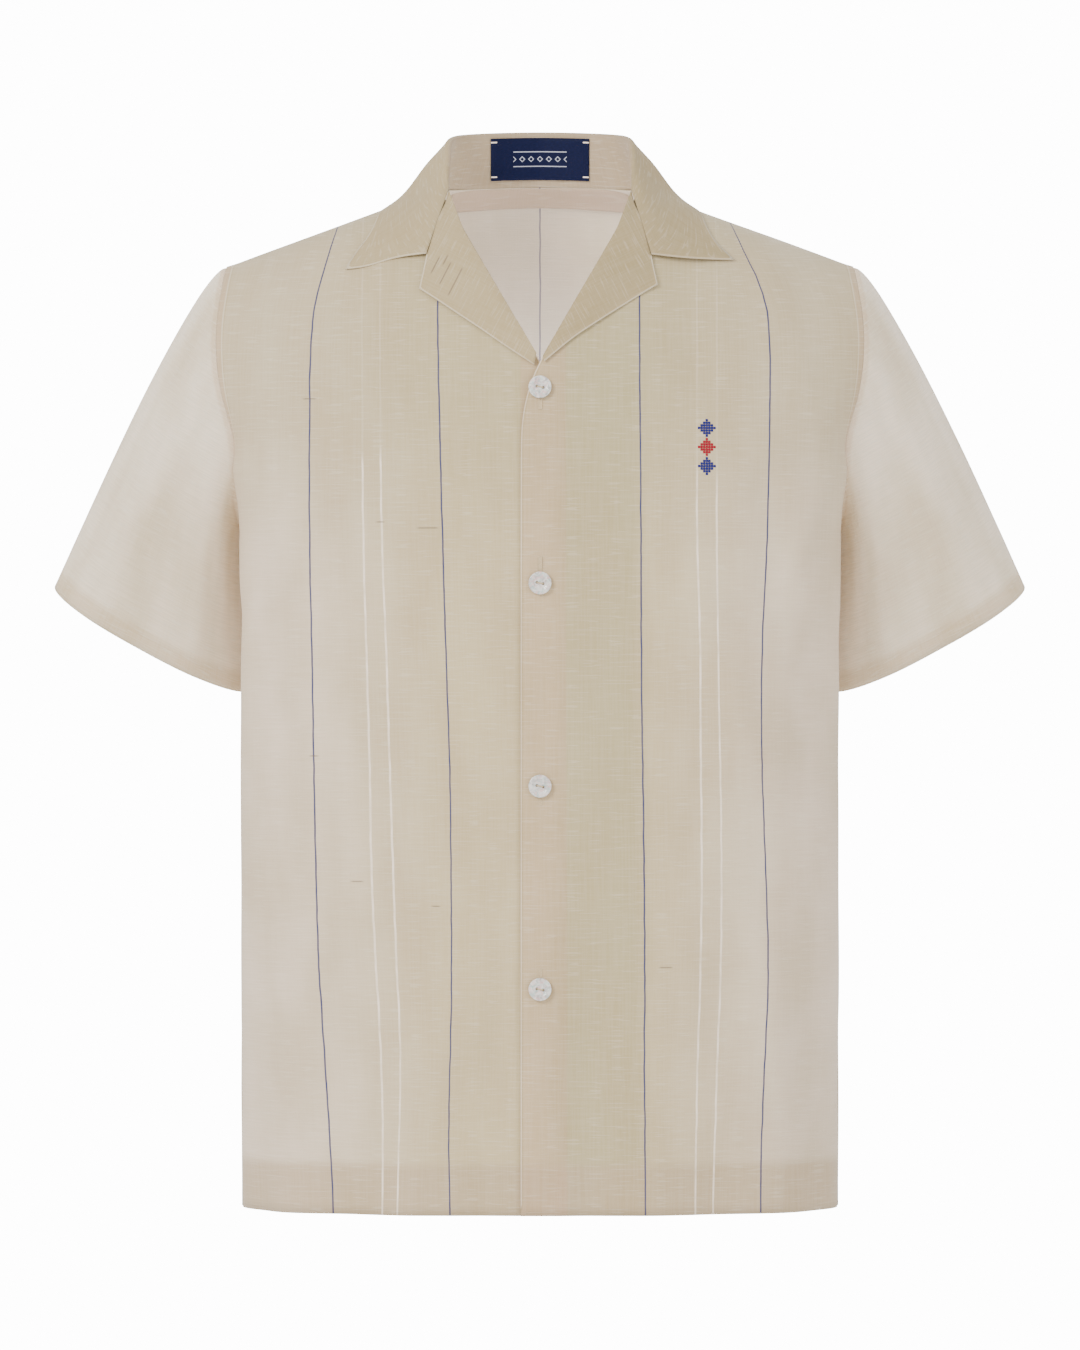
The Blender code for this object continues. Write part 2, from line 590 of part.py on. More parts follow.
# ---------------------------------------------------------------- trims
def moved_in(grid, by):
    """The grid's points moved in by this distance, square to its face."""
    grid = np.array(grid)
    face = np.cross(np.gradient(grid, axis=1), np.gradient(grid, axis=0))
    return grid - by * face / np.linalg.norm(face, axis=2, keepdims=True)


def neck_band():
    """The neckline's seam allowance, turned down inside the back."""
    grid = []
    for down in np.linspace(NECK_BAND["depth"], NECK_BAND["top"], NECK_BAND["rows"] + 1):
        row = []
        for x in np.linspace(NECK_BAND["reach"], -NECK_BAND["reach"], NECK_BAND["columns"] + 1):
            z = back_top_z(x) - down
            row.append(np.array([x, back_y(x, z), z]))
        grid.append(row)
    cloth("back_neck_band", moved_in(grid, WALL + NECK_BAND["gap"]), wall=NECK_BAND["wall"])


def label(collar_columns):
    """A woven label on the neck side of the collar's stand."""
    stand = collar_columns[:, : STAND_ROWS + 1]
    whole = np.concatenate([stand, mirrored(stand, -1)[-2::-1]])
    grid = []
    for up in np.linspace(LABEL["bottom"], LABEL["top"], LABEL["rows"] + 1):
        at = up * STAND_ROWS
        i = min(int(at), STAND_ROWS - 1)
        line = (whole[:, i] + (whole[:, i + 1] - whole[:, i]) * (at - i))[::-1]
        row = []
        for x in np.linspace(-LABEL["half_width"], LABEL["half_width"], LABEL["columns"] + 1):
            y, z = np.interp(x, line[:, 0], line[:, 1]), np.interp(x, line[:, 0], line[:, 2])
            row.append(np.array([x, y - LABEL["wall"] - LABEL["gap"], z]))
        grid.append(row)
    cloth("label", grid, wall=LABEL["wall"], finish="navy woven label")


def button(name, z):
    """A turned disc with a dished face and two holes, lying against the left front."""
    outline = bmesh.new()
    verts = []
    for out, up in zip(BUTTON_PROFILE["radius"], BUTTON_PROFILE["height"]):
        verts.append(outline.verts.new((out * BUTTON_RADIUS * MM, 0, up * BUTTON_THICKNESS * MM)))
    for a, b in zip(verts, verts[1:]):
        outline.edges.new((a, b))
    mesh = bpy.data.meshes.new(name)
    outline.to_mesh(mesh)
    outline.free()
    piece = bpy.data.objects.new(name, mesh)
    PARTS.objects.link(piece)
    mesh.materials.append(material("mother of pearl"))
    turn = piece.modifiers.new("Turned", "SCREW")
    turn.steps = turn.render_steps = BUTTON_FACETS
    turn.use_merge_vertices = True
    turn.merge_threshold = 1e-5
    for i, way in enumerate((-1, 1)):
        bpy.ops.mesh.primitive_cylinder_add(
            vertices=BUTTON_HOLE_FACETS, radius=BUTTON_HOLE_RADIUS * MM, depth=4 * BUTTON_THICKNESS * MM
        )
        cutter = bpy.context.active_object
        cutter.name = f"{name}_hole_{i + 1}"
        for holder in cutter.users_collection:
            holder.objects.unlink(cutter)
        CUTTERS.objects.link(cutter)
        cutter.parent = piece
        cutter.location = (way * BUTTON_HOLE_OFFSET * MM, 0, 0)
        cutter.hide_render = True
        cutter.display_type = "WIRE"
        hole = piece.modifiers.new(f"Hole {i + 1}", "BOOLEAN")
        hole.object = cutter
        hole.operation = "DIFFERENCE"
    lean = math.atan(front_y(0, z - 0.5) - front_y(0, z + 0.5))
    upright = Matrix.Rotation(math.radians(90) + lean, 4, "X")
    turned = Matrix.Rotation(math.radians(-BUTTON_TURN), 4, "Z")
    place = Vector((0, front_y(0, z) - BUTTON_STANDOFF, z)) * MM
    piece.matrix_world = Matrix.Translation(place) @ upright @ turned


# ---------------------------------------------------------------- the shirt
for old in list(bpy.data.objects):
    bpy.data.objects.remove(old, do_unlink=True)
PARTS, CUTTERS = collection("barong_tagalog_shirt"), collection("cutters")

front("front_left", 1)
front("front_right", -1)
back()
sleeve("sleeve_left", 1)
sleeve("sleeve_right", -1)
collar()
lapel("lapel_left", "left", 1)
lapel("lapel_right", "right", -1)
neck_band()
label(collar_half("left"))
for number, height in enumerate(BUTTON_Z, 1):
    button(f"button_{number}", height)
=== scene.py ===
# %% [markdown]
# # A short-sleeved barong tagalog shirt
# The shirt is cut from a sheer, hand-woven cream cloth with blue hair lines and white inlaid lines. It is
# shown filled out, as if someone wore it. The solid pieces of the pattern are loaded first, and each one is
# then dressed with a thin shell of cloth on exactly its form, so nothing has to be fitted by eye.

# %% Load the pattern pieces
import json
import math

import bmesh
import bpy
import numpy as np
from mathutils import Matrix, Vector, geometry, kdtree, noise
from mathutils.bvhtree import BVHTree

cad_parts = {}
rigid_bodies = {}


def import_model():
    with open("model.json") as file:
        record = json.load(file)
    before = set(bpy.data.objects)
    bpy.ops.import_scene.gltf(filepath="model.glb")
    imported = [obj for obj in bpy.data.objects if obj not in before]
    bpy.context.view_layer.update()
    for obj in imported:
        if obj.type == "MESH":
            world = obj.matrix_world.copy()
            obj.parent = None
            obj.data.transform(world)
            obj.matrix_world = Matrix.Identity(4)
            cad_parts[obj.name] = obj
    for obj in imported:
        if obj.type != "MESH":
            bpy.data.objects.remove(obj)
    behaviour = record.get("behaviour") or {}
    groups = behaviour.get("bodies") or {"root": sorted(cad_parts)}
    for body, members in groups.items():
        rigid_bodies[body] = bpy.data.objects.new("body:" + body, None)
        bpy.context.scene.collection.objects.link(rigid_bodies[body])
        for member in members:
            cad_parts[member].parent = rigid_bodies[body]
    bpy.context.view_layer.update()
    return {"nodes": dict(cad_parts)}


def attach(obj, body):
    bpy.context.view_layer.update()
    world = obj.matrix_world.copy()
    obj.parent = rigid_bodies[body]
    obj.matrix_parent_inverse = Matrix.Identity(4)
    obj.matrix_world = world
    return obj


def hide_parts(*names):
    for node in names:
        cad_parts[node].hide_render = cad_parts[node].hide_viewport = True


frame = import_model()
MM = 0.001
print("pieces of the pattern:", ", ".join(sorted(frame["nodes"])))

# %% [markdown]
# ## Two helpers for materials
# Colours are given as sRGB hex values, but shaders work in linear light, so one function converts
# them. A second one adds any node with its settings and links, which keeps a long shader readable.


# %% Colour and node helpers
def linear(hex_colour):
    """An sRGB hex value as the linear colour that a shader takes."""
    channels = [int(hex_colour[i : i + 2], 16) / 255 for i in (1, 3, 5)]
    return [c / 12.92 if c <= 0.04045 else ((c + 0.055) / 1.055) ** 2.4 for c in channels] + [1.0]


def add(tree, kind, settings=None, **inputs):
    """Adds a node. Settings are its own properties, and inputs are values or the outputs to link. An input
    named i0, i1 and so on is found by its place, and other names by their words."""
    node = tree.nodes.new(kind)
    for key, value in (settings or {}).items():
        setattr(node, key, value)
    for key, value in inputs.items():
        socket = node.inputs[int(key[1:])] if key[1:].isdigit() else node.inputs[key.replace("_", " ")]
        if isinstance(value, bpy.types.NodeSocket):
            tree.links.new(value, socket)
        elif isinstance(value, str):
            socket.default_value = linear(value)
        else:
            socket.default_value = value
    return node


def new_material(name, **shader):
    """A material with a Principled shader, whose fixed values sit on its own sockets."""
    made = bpy.data.materials.new(name)
    made.use_nodes = True
    principled = made.node_tree.nodes["Principled BSDF"]
    for key, value in shader.items():
        socket = principled.inputs[key.replace("_", " ")]
        socket.default_value = linear(value) if isinstance(value, str) else value
    return made, made.node_tree, principled


def link_surface(tree, shader, colour, relief=None, strength=0.5, depth=0.1 * MM):
    """Gives the shader its colour and, through a bump, its relief."""
    tree.links.new(colour, shader.inputs["Base Color"])
    if relief is not None:
        bump = add(tree, "ShaderNodeBump", Strength=strength, Distance=depth, Height=relief)
        tree.links.new(bump.outputs[0], shader.inputs["Normal"])


# %% [markdown]
# ## Helpers for modelling
# Blender's operators work on the active object in its present mode, so these functions pick it and switch
# its mode. Two more add a simple shape and apply a modifier. The shirt is much the same on both sides, so a
# row of a table whose name has a star stands for a left and a right one.


# %% Modelling helpers
def only(piece):
    """Makes this object the only selected one, and the active one."""
    bpy.ops.object.select_all(action="DESELECT")
    piece.select_set(True)
    bpy.context.view_layer.objects.active = piece


def link(thing):
    """Brings an object into the scene."""
    bpy.context.scene.collection.objects.link(thing)
    return thing


def mode(name):
    bpy.ops.object.mode_set(mode=name)


def shape(kind, name, scale=(1, 1, 1), **settings):
    """A primitive such as a cube, with its place and scale moved into its points."""
    bpy.ops.object.select_all(action="DESELECT")
    getattr(bpy.ops.mesh, f"primitive_{kind}_add")(**settings)
    made = bpy.context.active_object
    made.name = made.data.name = name
    made.scale = scale
    bpy.ops.object.transform_apply()
    return made


def apply(piece, kind, **settings):
    """Adds a modifier with these settings and applies it."""
    only(piece)
    modifier = piece.modifiers.new(kind.title(), kind)
    for key, value in settings.items():
        setattr(modifier, key, value)
    bpy.ops.object.modifier_apply(modifier=modifier.name)


def both_sides(table):
    """The table with left and right in place of the star in a name. Other rows stay as they are."""
    return {name.replace("*", side): row for name, row in table.items() for side in ("left", "right")}


# %% [markdown]
# ## Cut the cloth from the pattern pieces
# A wall of the pattern has an outer face, an inner face and a rim between them. Cloth only needs one face.
# The rim is exactly as wide as the wall is thick, so its faces are found by that and deleted. That leaves
# two loose sheets, and the one next to a chosen point is the one to keep.

# %% Take one side of a wall
MERGE = 0.02 * MM
LENGTH_MATCH = 0.012 * MM


def one_side(node, wall, beside):
    """A copy of the side of a node's wall that faces the point beside it, as loose triangles merged."""
    copy = link(bpy.data.objects.new("one_side", frame["nodes"][node].data.copy()))
    only(copy)
    mode("EDIT")
    bpy.ops.mesh.select_mode(type="FACE")
    bpy.ops.mesh.select_all(action="SELECT")
    bpy.ops.mesh.remove_doubles(threshold=MERGE)
    bpy.ops.mesh.select_all(action="DESELECT")
    shell = bmesh.from_edit_mesh(copy.data)
    for face in shell.faces:
        face.select = any(abs(edge.calc_length() - wall * MM) < LENGTH_MATCH for edge in face.edges)
    bpy.ops.mesh.delete(type="FACE")
    point = Vector(beside) * MM
    nearest = min(shell.faces, key=lambda face: (face.calc_center_median() - point).length)
    nearest.select_set(True)
    bpy.ops.mesh.select_linked(delimit=set())
    bpy.ops.mesh.select_all(action="INVERT")
    bpy.ops.mesh.delete(type="FACE")
    mode("OBJECT")
    return copy


# %% [markdown]
# ## Lay each piece out as a neat grid
# The loose side is all triangles, which smooth badly. Its points still lie in rows and columns, so they are
# walked row by row: from two neighbours in a row and the point above the first, the point above the second
# is the far corner of their square. A new grid of quads then takes those places. It also brings a UV map
# that counts the rows and columns, which later tells every point where it lies in the flat cloth.


# %% Walk the rows
def walk_rows(mesh, corner, towards, columns):
    """The mesh's points in rows. The first row starts at the corner and passes near the point towards."""

    def along_edge(vert):
        return [edge.other_vert(vert) for edge in vert.link_edges if edge.is_boundary]

    def path(first):
        row = [start, first]
        while len(row) <= columns:
            row.append(next(v for v in along_edge(row[-1]) if v is not row[-2]))
        return row

    def apex(edge, *not_these):
        corners = [v for face in edge.link_faces for v in face.verts]
        return next(v for v in corners if v not in edge.verts and v not in not_these)

    edge_verts = [v for v in mesh.verts if v.is_boundary]
    start = min(edge_verts, key=lambda v: (v.co - Vector(corner) * MM).length)
    paths = [path(first) for first in along_edge(start)]
    rows = [min(paths, key=lambda row: (row[columns // 3].co - Vector(towards) * MM).length)]
    is_tube = rows[0][-1] is rows[0][0]
    done = set(rows[0])
    while len(done) < len(mesh.verts):
        row = rows[-1]
        near = [edge.other_vert(row[0]) for edge in row[0].link_edges] if is_tube else along_edge(row[0])
        run = (row[1].co - row[-2].co).normalized() if is_tube else Vector()
        above = [v for v in near if v not in done]
        made = [min(above, key=lambda v: abs((v.co - row[0].co).normalized().dot(run)))]
        for a, b in zip(row, row[1:]):
            diagonal = mesh.edges.get((b, made[-1]))
            far = apex(diagonal, a) if diagonal else apex(mesh.edges.get((a, b)), *done)
            made.append(far)
        done.update(made)
        rows.append(made)
    return [[v.co.copy() for v in row] for row in rows]


# %% Build a grid
def cut(node, wall, beside, corner, towards, columns):
    """A sheet of quads on the side of a node's wall that faces the point beside it."""
    loose = one_side(node, wall, beside)
    mesh = bmesh.new()
    mesh.from_mesh(loose.data)
    rows = walk_rows(mesh, corner, towards, columns)
    outward = min(mesh.faces, key=lambda face: (face.calc_center_median() - Vector(beside) * MM).length).normal
    outward = outward.copy()
    mesh.free()
    bpy.data.objects.remove(loose, do_unlink=True)
    grid = {"x_subdivisions": columns, "y_subdivisions": len(rows) - 1}
    piece = shape("grid", f"{node}_cloth", size=1.0, calc_uvs=True, **grid)
    piece.data.uv_layers[0].name = "grid"
    for vertex in piece.data.vertices:
        column, row = (vertex.co.x + 0.5) * columns, (vertex.co.y + 0.5) * (len(rows) - 1)
        vertex.co = rows[round(row)][round(column)]
    only(piece)
    mode("EDIT")
    bpy.ops.mesh.select_all(action="SELECT")
    bpy.ops.mesh.remove_doubles(threshold=MERGE)
    mode("OBJECT")
    nearest = min(piece.data.polygons, key=lambda face: (face.center - Vector(beside) * MM).length)
    if nearest.normal.dot(outward) < 0:
        mode("EDIT")
        bpy.ops.mesh.flip_normals()
        mode("OBJECT")
    print(f"{node}: {len(rows) - 1} rows of {columns} squares")
    return piece


# %% [markdown]
# Every piece is cut by that one function. The places below only have to lie nearer to the right face or
# corner than to any other. A starred piece is mirrored for the wearer's right.

# %% Cut all the pieces
# Columns: wall, a point beside the side that shows, the first row's corner, a point it runs towards, squares.
PATTERN = {
    "front_*": (1.2, (100, -150, -400), (-12.6, -118, -677), (80, -112, -677), 16),
    "back": (1.2, (0, 150, -400), (199, 6, -677), (90, 106, -677), 34),
    "sleeve_*": (1.2, (320, 20, -150), (321, 42, -264), (300, -10, -290), 28),
    "collar": (1.2, (0, 60, 90), (129, -56, -48), (92, 45, -14), 28),
    "lapel_*": (1.2, (40, -130, -70), (60, -30, -3), (45, -72, -39), 9),
    "back_neck_band": (1.0, (0, 20, -5), (59, 74, -13), (22, 90, -9), 16),
    "label": (1.0, (0, 20, 20), (-33, 53, 9), (-10, 66, 9), 12),
}
CLOTH = {}
for node, (wall, *places, columns) in both_sides(PATTERN).items():
    side = -1 if node.endswith("right") else 1
    CLOTH[node] = cut(node, wall, *((side * x, y, z) for x, y, z in places), columns)

# %% [markdown]
# ## Close the seams
# The pattern's pieces stop a little short of each other, as solids must. Sewn cloth meets in a line, so
# each edge point that has another piece's edge close by moves halfway to it.

# %% Sew the pieces together
FIRST, LAST = 0.001, 0.999  # a share beyond this is in the first or last row or column of a grid
SEAMS = both_sides({  # pairs of pieces, and how far an edge may reach for the other, in millimetres
    "front_* back": 3, "sleeve_* front_*": 3, "sleeve_* back": 3, "collar back": 3, "collar front_*": 3,
    "collar lapel_*": 3, "lapel_* front_*": 4,
})


def open_edges(piece, wanted=None):
    """The ends of each open edge, as numbers and places. Wanted picks them by the column and row of their
    middle, as shares of the grid."""
    mesh = bmesh.new()
    mesh.from_mesh(piece.data)
    shares = mesh.loops.layers.uv["grid"]
    found = []
    for edge in mesh.edges:
        if edge.is_boundary:
            loop = edge.link_loops[0]
            after = loop.link_loop_next
            middle = (loop[shares].uv + after[shares].uv) / 2
            if wanted is None or wanted(*middle):
                found.append(tuple((corner.vert.index, corner.vert.co.copy()) for corner in (loop, after)))
    mesh.free()
    return found


def nearest_on(edges, point):
    """The distance to the nearest place on a set of edges, and that place."""
    best, found = 1e9, None
    for (_, a), (_, b) in edges:
        place, share = geometry.intersect_point_line(point, a, b)
        place = a if share < 0 else b if share > 1 else place
        if (place - point).length < best:
            best, found = (place - point).length, place
    return best, found


def sew(seams):
    """Moves the edges of each pair of pieces together, and says how many points moved."""
    moves = []
    for pair, reach in seams.items():
        one, other = pair.split()
        edges = {node: open_edges(CLOTH[node]) for node in (one, other)}
        for node, neighbour in ((one, other), (other, one)):
            starts = {i: point for (i, point), _ in edges[node]}
            for i, point in starts.items():
                distance, place = nearest_on(edges[neighbour], point)
                if distance < reach * MM:
                    moves.append((CLOTH[node].data.vertices[i], place))
    for vertex, place in moves:
        vertex.co = (vertex.co + place) / 2
    return len(moves)


print(f"moved {sew(SEAMS)} edge points to close {len(SEAMS)} seams")

# %% [markdown]
# The outer edges of the collar and lapels rest on the shirt. Their sheets end higher than that, because the
# solids are thick walls, so the rows near those edges are eased towards the nearest cloth beneath, until
# the edge clears it by little more than a layer. Nearness is looked up in a search tree of the cloth.

# %% Lay down the edges of the collar and lapels
# Columns: the cloth beneath, the row that is the edge, the share of the rows that move and the gap in mm.
LAID = {
    "collar": (("front_left", "front_right", "back"), 0, 0.35, 1.6),
    "lapel_left": (("front_left",), 1, 0.6, 1.9),
    "lapel_right": (("front_right",), 1, 0.6, 1.9),
}


def lay_down(piece, beneath, edge, reach, gap):
    """Eases the rows near an edge towards the cloth beneath, and gives the longest move in metres."""
    mesh = bmesh.new()
    mesh.from_mesh(piece.data)
    shares = mesh.loops.layers.uv["grid"]
    graph = bpy.context.evaluated_depsgraph_get()
    trees = [BVHTree.FromObject(CLOTH[node], graph) for node in beneath]
    farthest = 0.0
    for v in mesh.verts:
        share = 1 - abs(v.link_loops[0][shares].uv.y - edge) / reach
        if share > 0:
            place, _, _, distance = min((tree.find_nearest(v.co) for tree in trees), key=lambda hit: hit[3])
            drop = max(distance - gap * MM, 0) * share
            v.co += (place - v.co).normalized() * drop
            farthest = max(farthest, drop)
    mesh.to_mesh(piece.data)
    mesh.free()
    return farthest


for node, laid in LAID.items():
    print(f"{node}: edge laid down by up to {lay_down(CLOTH[node], *laid) / MM:.1f} mm")

# %% [markdown]
# The allowance of the neck seam hangs from that seam, so the upper edge of its band moves all the way up
# to the collar's lower edge. Both ends are stretched a little, so that they pass behind the lapels.

# %% Hang the neck band from its seam
NECK_SEAM_REACH = 16 * MM
BAND_DROP = Vector((0, 0, -0.4 * MM))  # keeps the band's edge just out of the collar's
BAND_ENDS, BAND_STRETCH = 45 * MM, 0.3  # from this far out, and by this share of what is left
collar_foot = open_edges(CLOTH["collar"], lambda column, row: row > LAST)
for ends in open_edges(CLOTH["back_neck_band"], lambda column, row: row > LAST):
    for i, point in ends:
        distance, place = nearest_on(collar_foot, point)
        if distance < NECK_SEAM_REACH:
            CLOTH["back_neck_band"].data.vertices[i].co = place + BAND_DROP
for vertex in CLOTH["back_neck_band"].data.vertices:
    vertex.co.x += math.copysign(max(abs(vertex.co.x) - BAND_ENDS, 0) * BAND_STRETCH, vertex.co.x)

# %% [markdown]
# ## Folds
# Light, crisp cloth hangs in long soft folds. Each is listed as a line in the garment with a width
# and a height: a ridge where the height is positive and a trough where it is negative. A fold fades out at
# its ends and to both sides like a bell curve, and moves the cloth along its own normal.

# %% List the folds of the body
# Columns: x and z of both ends, width and height, in millimetres, with x to the right as seen from the front.
FOLDS = {
    "front_left": (
        (104, -270, 138, -372, 15, 3.6), (150, -200, 154, -290, 13, -3.3),
        (196, -190, 160, -262, 12, 2.8), (182, -300, 172, -420, 16, -2.7),
        (3, -251, 50, -226, 9, -1.5), (96, -62, 104, -140, 16, -2.4), (60, -60, 62, -150, 15, 1.8),
        (150, -60, 176, -150, 15, 2.1), (30, -677, 33, -520, 14, -2.5),
        (75, -677, 74, -540, 16, 3.0), (118, -677, 122, -470, 17, -3.2),
        (158, -677, 150, -500, 15, 3.4), (186, -677, 186, -560, 12, -2.7),
        (20, -300, 40, -420, 15, 1.8),
    ),
    "front_right": (
        (-196, -190, -158, -258, 12, 2.8), (-186, -285, -164, -390, 15, -3.2),
        (-152, -300, -146, -430, 16, 2.2), (-137, -75, -143, -165, 14, -2.5),
        (-100, -60, -104, -150, 16, 2.1), (-172, -70, -180, -150, 13, 2.0),
        (-186, -677, -186, -570, 12, -2.7), (-163, -677, -160, -500, 14, 3.9),
        (-126, -677, -127, -520, 15, -3.4), (-86, -677, -70, -540, 15, 3.3),
        (-40, -677, -24, -520, 14, -2.7), (-70, -250, -50, -380, 18, -2.0),
    ),
    "back": (
        (-150, -677, -140, -420, 18, 3.9), (-104, -677, -108, -500, 16, -3.6),
        (-60, -677, -48, -460, 18, 3.3), (-12, -677, -8, -520, 15, -3.0),
        (38, -677, 30, -440, 17, 3.4), (88, -677, 92, -510, 16, -3.3),
        (134, -677, 124, -470, 17, 3.8), (176, -677, 172, -560, 13, -2.7),
        (-180, -677, -178, -590, 12, -2.4), (-160, -110, -110, -290, 18, 3.3),
        (158, -100, 112, -270, 18, 3.0), (-60, -60, -40, -180, 20, -2.7),
        (64, -66, 44, -200, 20, -2.4), (-190, -230, -130, -330, 14, -3.0),
        (190, -225, 138, -320, 14, -2.8),
    ),
}
print("folds listed:", sum(len(folds) for folds in FOLDS.values()))

# %% [markdown]
# The folds work on all of a piece's points at once, as an array. A sheet is first rounded between its
# points, so that a fold has enough of them to bend.

# %% Raise the folds
SWAY, SWAY_LENGTH = 0.5, 70.0  # height of the slow unevenness between the folds, and its length


def values_of(collection, name, width):
    """One value of every point or corner in a mesh, as rows with this many numbers."""
    values = np.zeros(len(collection) * width)
    collection.foreach_get(name, values)
    return values.reshape(-1, width)


def points_of(piece):
    """The places of a piece's points in millimetres."""
    return values_of(piece.data.vertices, "co", 3) / MM


def fold_height(places, start, end, width, height):
    """Height of one fold at each place, in the plane or in space. It wavers by a quarter along its length."""
    start, along = np.array(start, float), np.array(end, float) - np.array(start, float)
    share = np.clip((places - start) @ along / (along @ along), 0, 1)
    off = np.linalg.norm(places - start - share[:, None] * along, axis=1)
    waver = 0.75 + 0.25 * np.cos(3 * math.pi * share)
    return height * waver * np.exp(-((off / width) ** 2))


def raise_folds(piece, heights):
    """Moves each point along its normal by a height in millimetres, with a slow unevenness."""
    points, normals = points_of(piece), values_of(piece.data.vertices, "normal", 3)
    sway = [noise.noise(Vector(p) / SWAY_LENGTH) for p in points]
    moved = (points + normals * (heights + SWAY * np.array(sway))[:, None]) * MM
    piece.data.vertices.foreach_set("co", moved.ravel())
    piece.data.update()


def subdivide(piece, levels, corners=()):
    """Rounds the sheet between its points. The grid's own corners stay sharp, and so do these places on it,
    given as shares of its columns and rows."""
    only(piece)
    mode("EDIT")
    mesh = bmesh.from_edit_mesh(piece.data)
    shares = mesh.loops.layers.uv["grid"]
    for corner in corners:
        bpy.ops.mesh.select_all(action="DESELECT")
        loops = (loop for face in mesh.faces for loop in face.loops)
        min(loops, key=lambda loop: (loop[shares].uv - Vector(corner)).length).vert.select_set(True)
        mesh.select_flush_mode()
        bpy.ops.transform.vert_crease(value=1.0)
    mode("OBJECT")
    sharp = {"boundary_smooth": "PRESERVE_CORNERS", "uv_smooth": "PRESERVE_CORNERS"}
    apply(piece, "SUBSURF", levels=levels, render_levels=levels, **sharp)
    bpy.ops.object.shade_smooth()


for node, levels in (("front_left", 3), ("front_right", 3), ("back", 2)):
    piece = CLOTH[node]
    subdivide(piece, levels)
    places = points_of(piece)[:, [0, 2]]
    raise_folds(piece, sum(fold_height(places, f[:2], f[2:4], f[4], f[5]) for f in FOLDS[node]))
    print(f"{node}: {len(FOLDS[node])} folds")

# %% [markdown]
# The sleeves' folds run down the arm and fan out from the armpit, so their ends are places in space. Both
# sleeves have the same ones in a different order of heights, so that they don't look like copies.

# %% Fold the sleeves
# Columns: x, y and z of both ends for the left sleeve, then width and the heights on the left and right.
SLEEVE_FOLDS = (
    (232, -45, -150, 262, -8, -300, 14, -1.9, -1.5),
    (226, -50, -120, 292, -2, -280, 13, 1.5, 1.3),
    (214, -44, -200, 232, -4, -315, 11, 1.3, 1.9),
    (222, -40, -80, 306, 18, -262, 12, -1.0, -1.6),
    (226, 60, -130, 258, 92, -290, 14, 1.7, 1.4),
    (220, 58, -180, 232, 88, -310, 12, -1.5, -1.9),
    (240, 55, -110, 296, 78, -270, 13, -1.4, -1.1),
    (218, 10, -60, 300, 40, -235, 12, 0.9, 0.7),
)
ARMHOLE_X, ARMHOLE_FADE = 206, 20  # the folds start here, and take this far to reach their full height
for side, node in ((1, "sleeve_left"), (-1, "sleeve_right")):
    piece = CLOTH[node]
    subdivide(piece, 2)
    places = points_of(piece) * (side, 1, 1)
    column = 7 if side > 0 else 8
    heights = sum(fold_height(places, f[:3], f[3:6], f[6], f[column]) for f in SLEEVE_FOLDS)
    raise_folds(piece, heights * np.clip((places[:, 0] - ARMHOLE_X) / ARMHOLE_FADE, 0, 1))
    print(f"{node}: {len(SLEEVE_FOLDS)} folds")

# %% [markdown]
# ## The cloth's own coordinates
# A stripe is woven straight, but on a worn garment it wanders: it swings in at the shoulder and follows the
# folds at the hem. A UV map measured across and along the cloth records that. The table gives the place of
# each woven line at several heights, and between the lines the map is stretched evenly, so the pattern is
# drawn straight in the cloth and comes out wandering on the shirt.

# %% Say where the woven lines run
WOVEN = (0.0, 66.0, 103.0, 116.0, 150.0, 260.0)  # middle, blue line, two white lines, blue line, past the side
LINES = {
    "z": (-25, -44, -61, -104, -236, -308, -386, -452, -517, -576, -621, -677),
    "front_left": (
        (65.5, 65.5, 65.5, 65, 66, 66, 67, 68, 68.5, 68, 68.5, 69),
        (103.5, 103.5, 103, 103, 102.5, 105, 105, 106, 105, 103, 102, 101.5),
        (117, 116.5, 116.5, 116, 115.5, 116.5, 118, 119, 118.5, 116, 114.5, 113),
        (122, 133, 147, 151.5, 149, 145, 145, 148, 150, 147.5, 145, 144.5),
    ),
    "front_right": (
        (67, 67, 67, 67, 63.5, 61.5, 58.5, 58, 57.5, 58.5, 60, 58.5),
        (105.5, 105.5, 105, 105, 103.5, 100.5, 98, 96, 93.5, 90.5, 92, 93.5),
        (117.5, 117.5, 117, 116.5, 115.5, 113.5, 111, 110.5, 107, 103.5, 102.5, 103),
        (131, 138.5, 146, 151, 151, 149.5, 148, 147, 145, 141, 138, 135),
    ),
}
LINE_ROUNDING = (-24, -12, 0, 12, 24)  # a line's place is the mean of those at these heights over the point
print("woven lines on each side:", len(WOVEN) - 2)

# %% [markdown]
# Each point is then placed between its two neighbouring lines, and both of its coordinates go into the map.


# %% Map the fronts and the back
def woven_place(node, x, z):
    """Distance of a point from the middle of the cloth, measured across its weave."""
    if node not in LINES:
        return x
    heights, near = LINES["z"][::-1], z + np.array(LINE_ROUNDING)
    stops = [0.0] + [np.interp(near, heights, line[::-1]).mean() for line in LINES[node]]
    stops.append(stops[-1] + WOVEN[-1] - WOVEN[-2])
    return math.copysign(np.interp(abs(x), stops, WOVEN), x)


def corner_points(piece):
    """The number of the point at each corner of each face."""
    corners = np.zeros(len(piece.data.loops), int)
    piece.data.loops.foreach_get("vertex_index", corners)
    return corners


def grid_places(piece):
    """Columns and rows at each corner of each face, as shares of the whole."""
    return values_of(piece.data.uv_layers["grid"].data, "uv", 2)


def map_cloth(piece, across, along):
    """Stores where each corner lies in the flat cloth, given in millimetres, as the UV map of the piece."""
    layer = piece.data.uv_layers.new(name="cloth")
    layer.data.foreach_set("uv", (np.stack([across, along], axis=1) * MM).ravel())


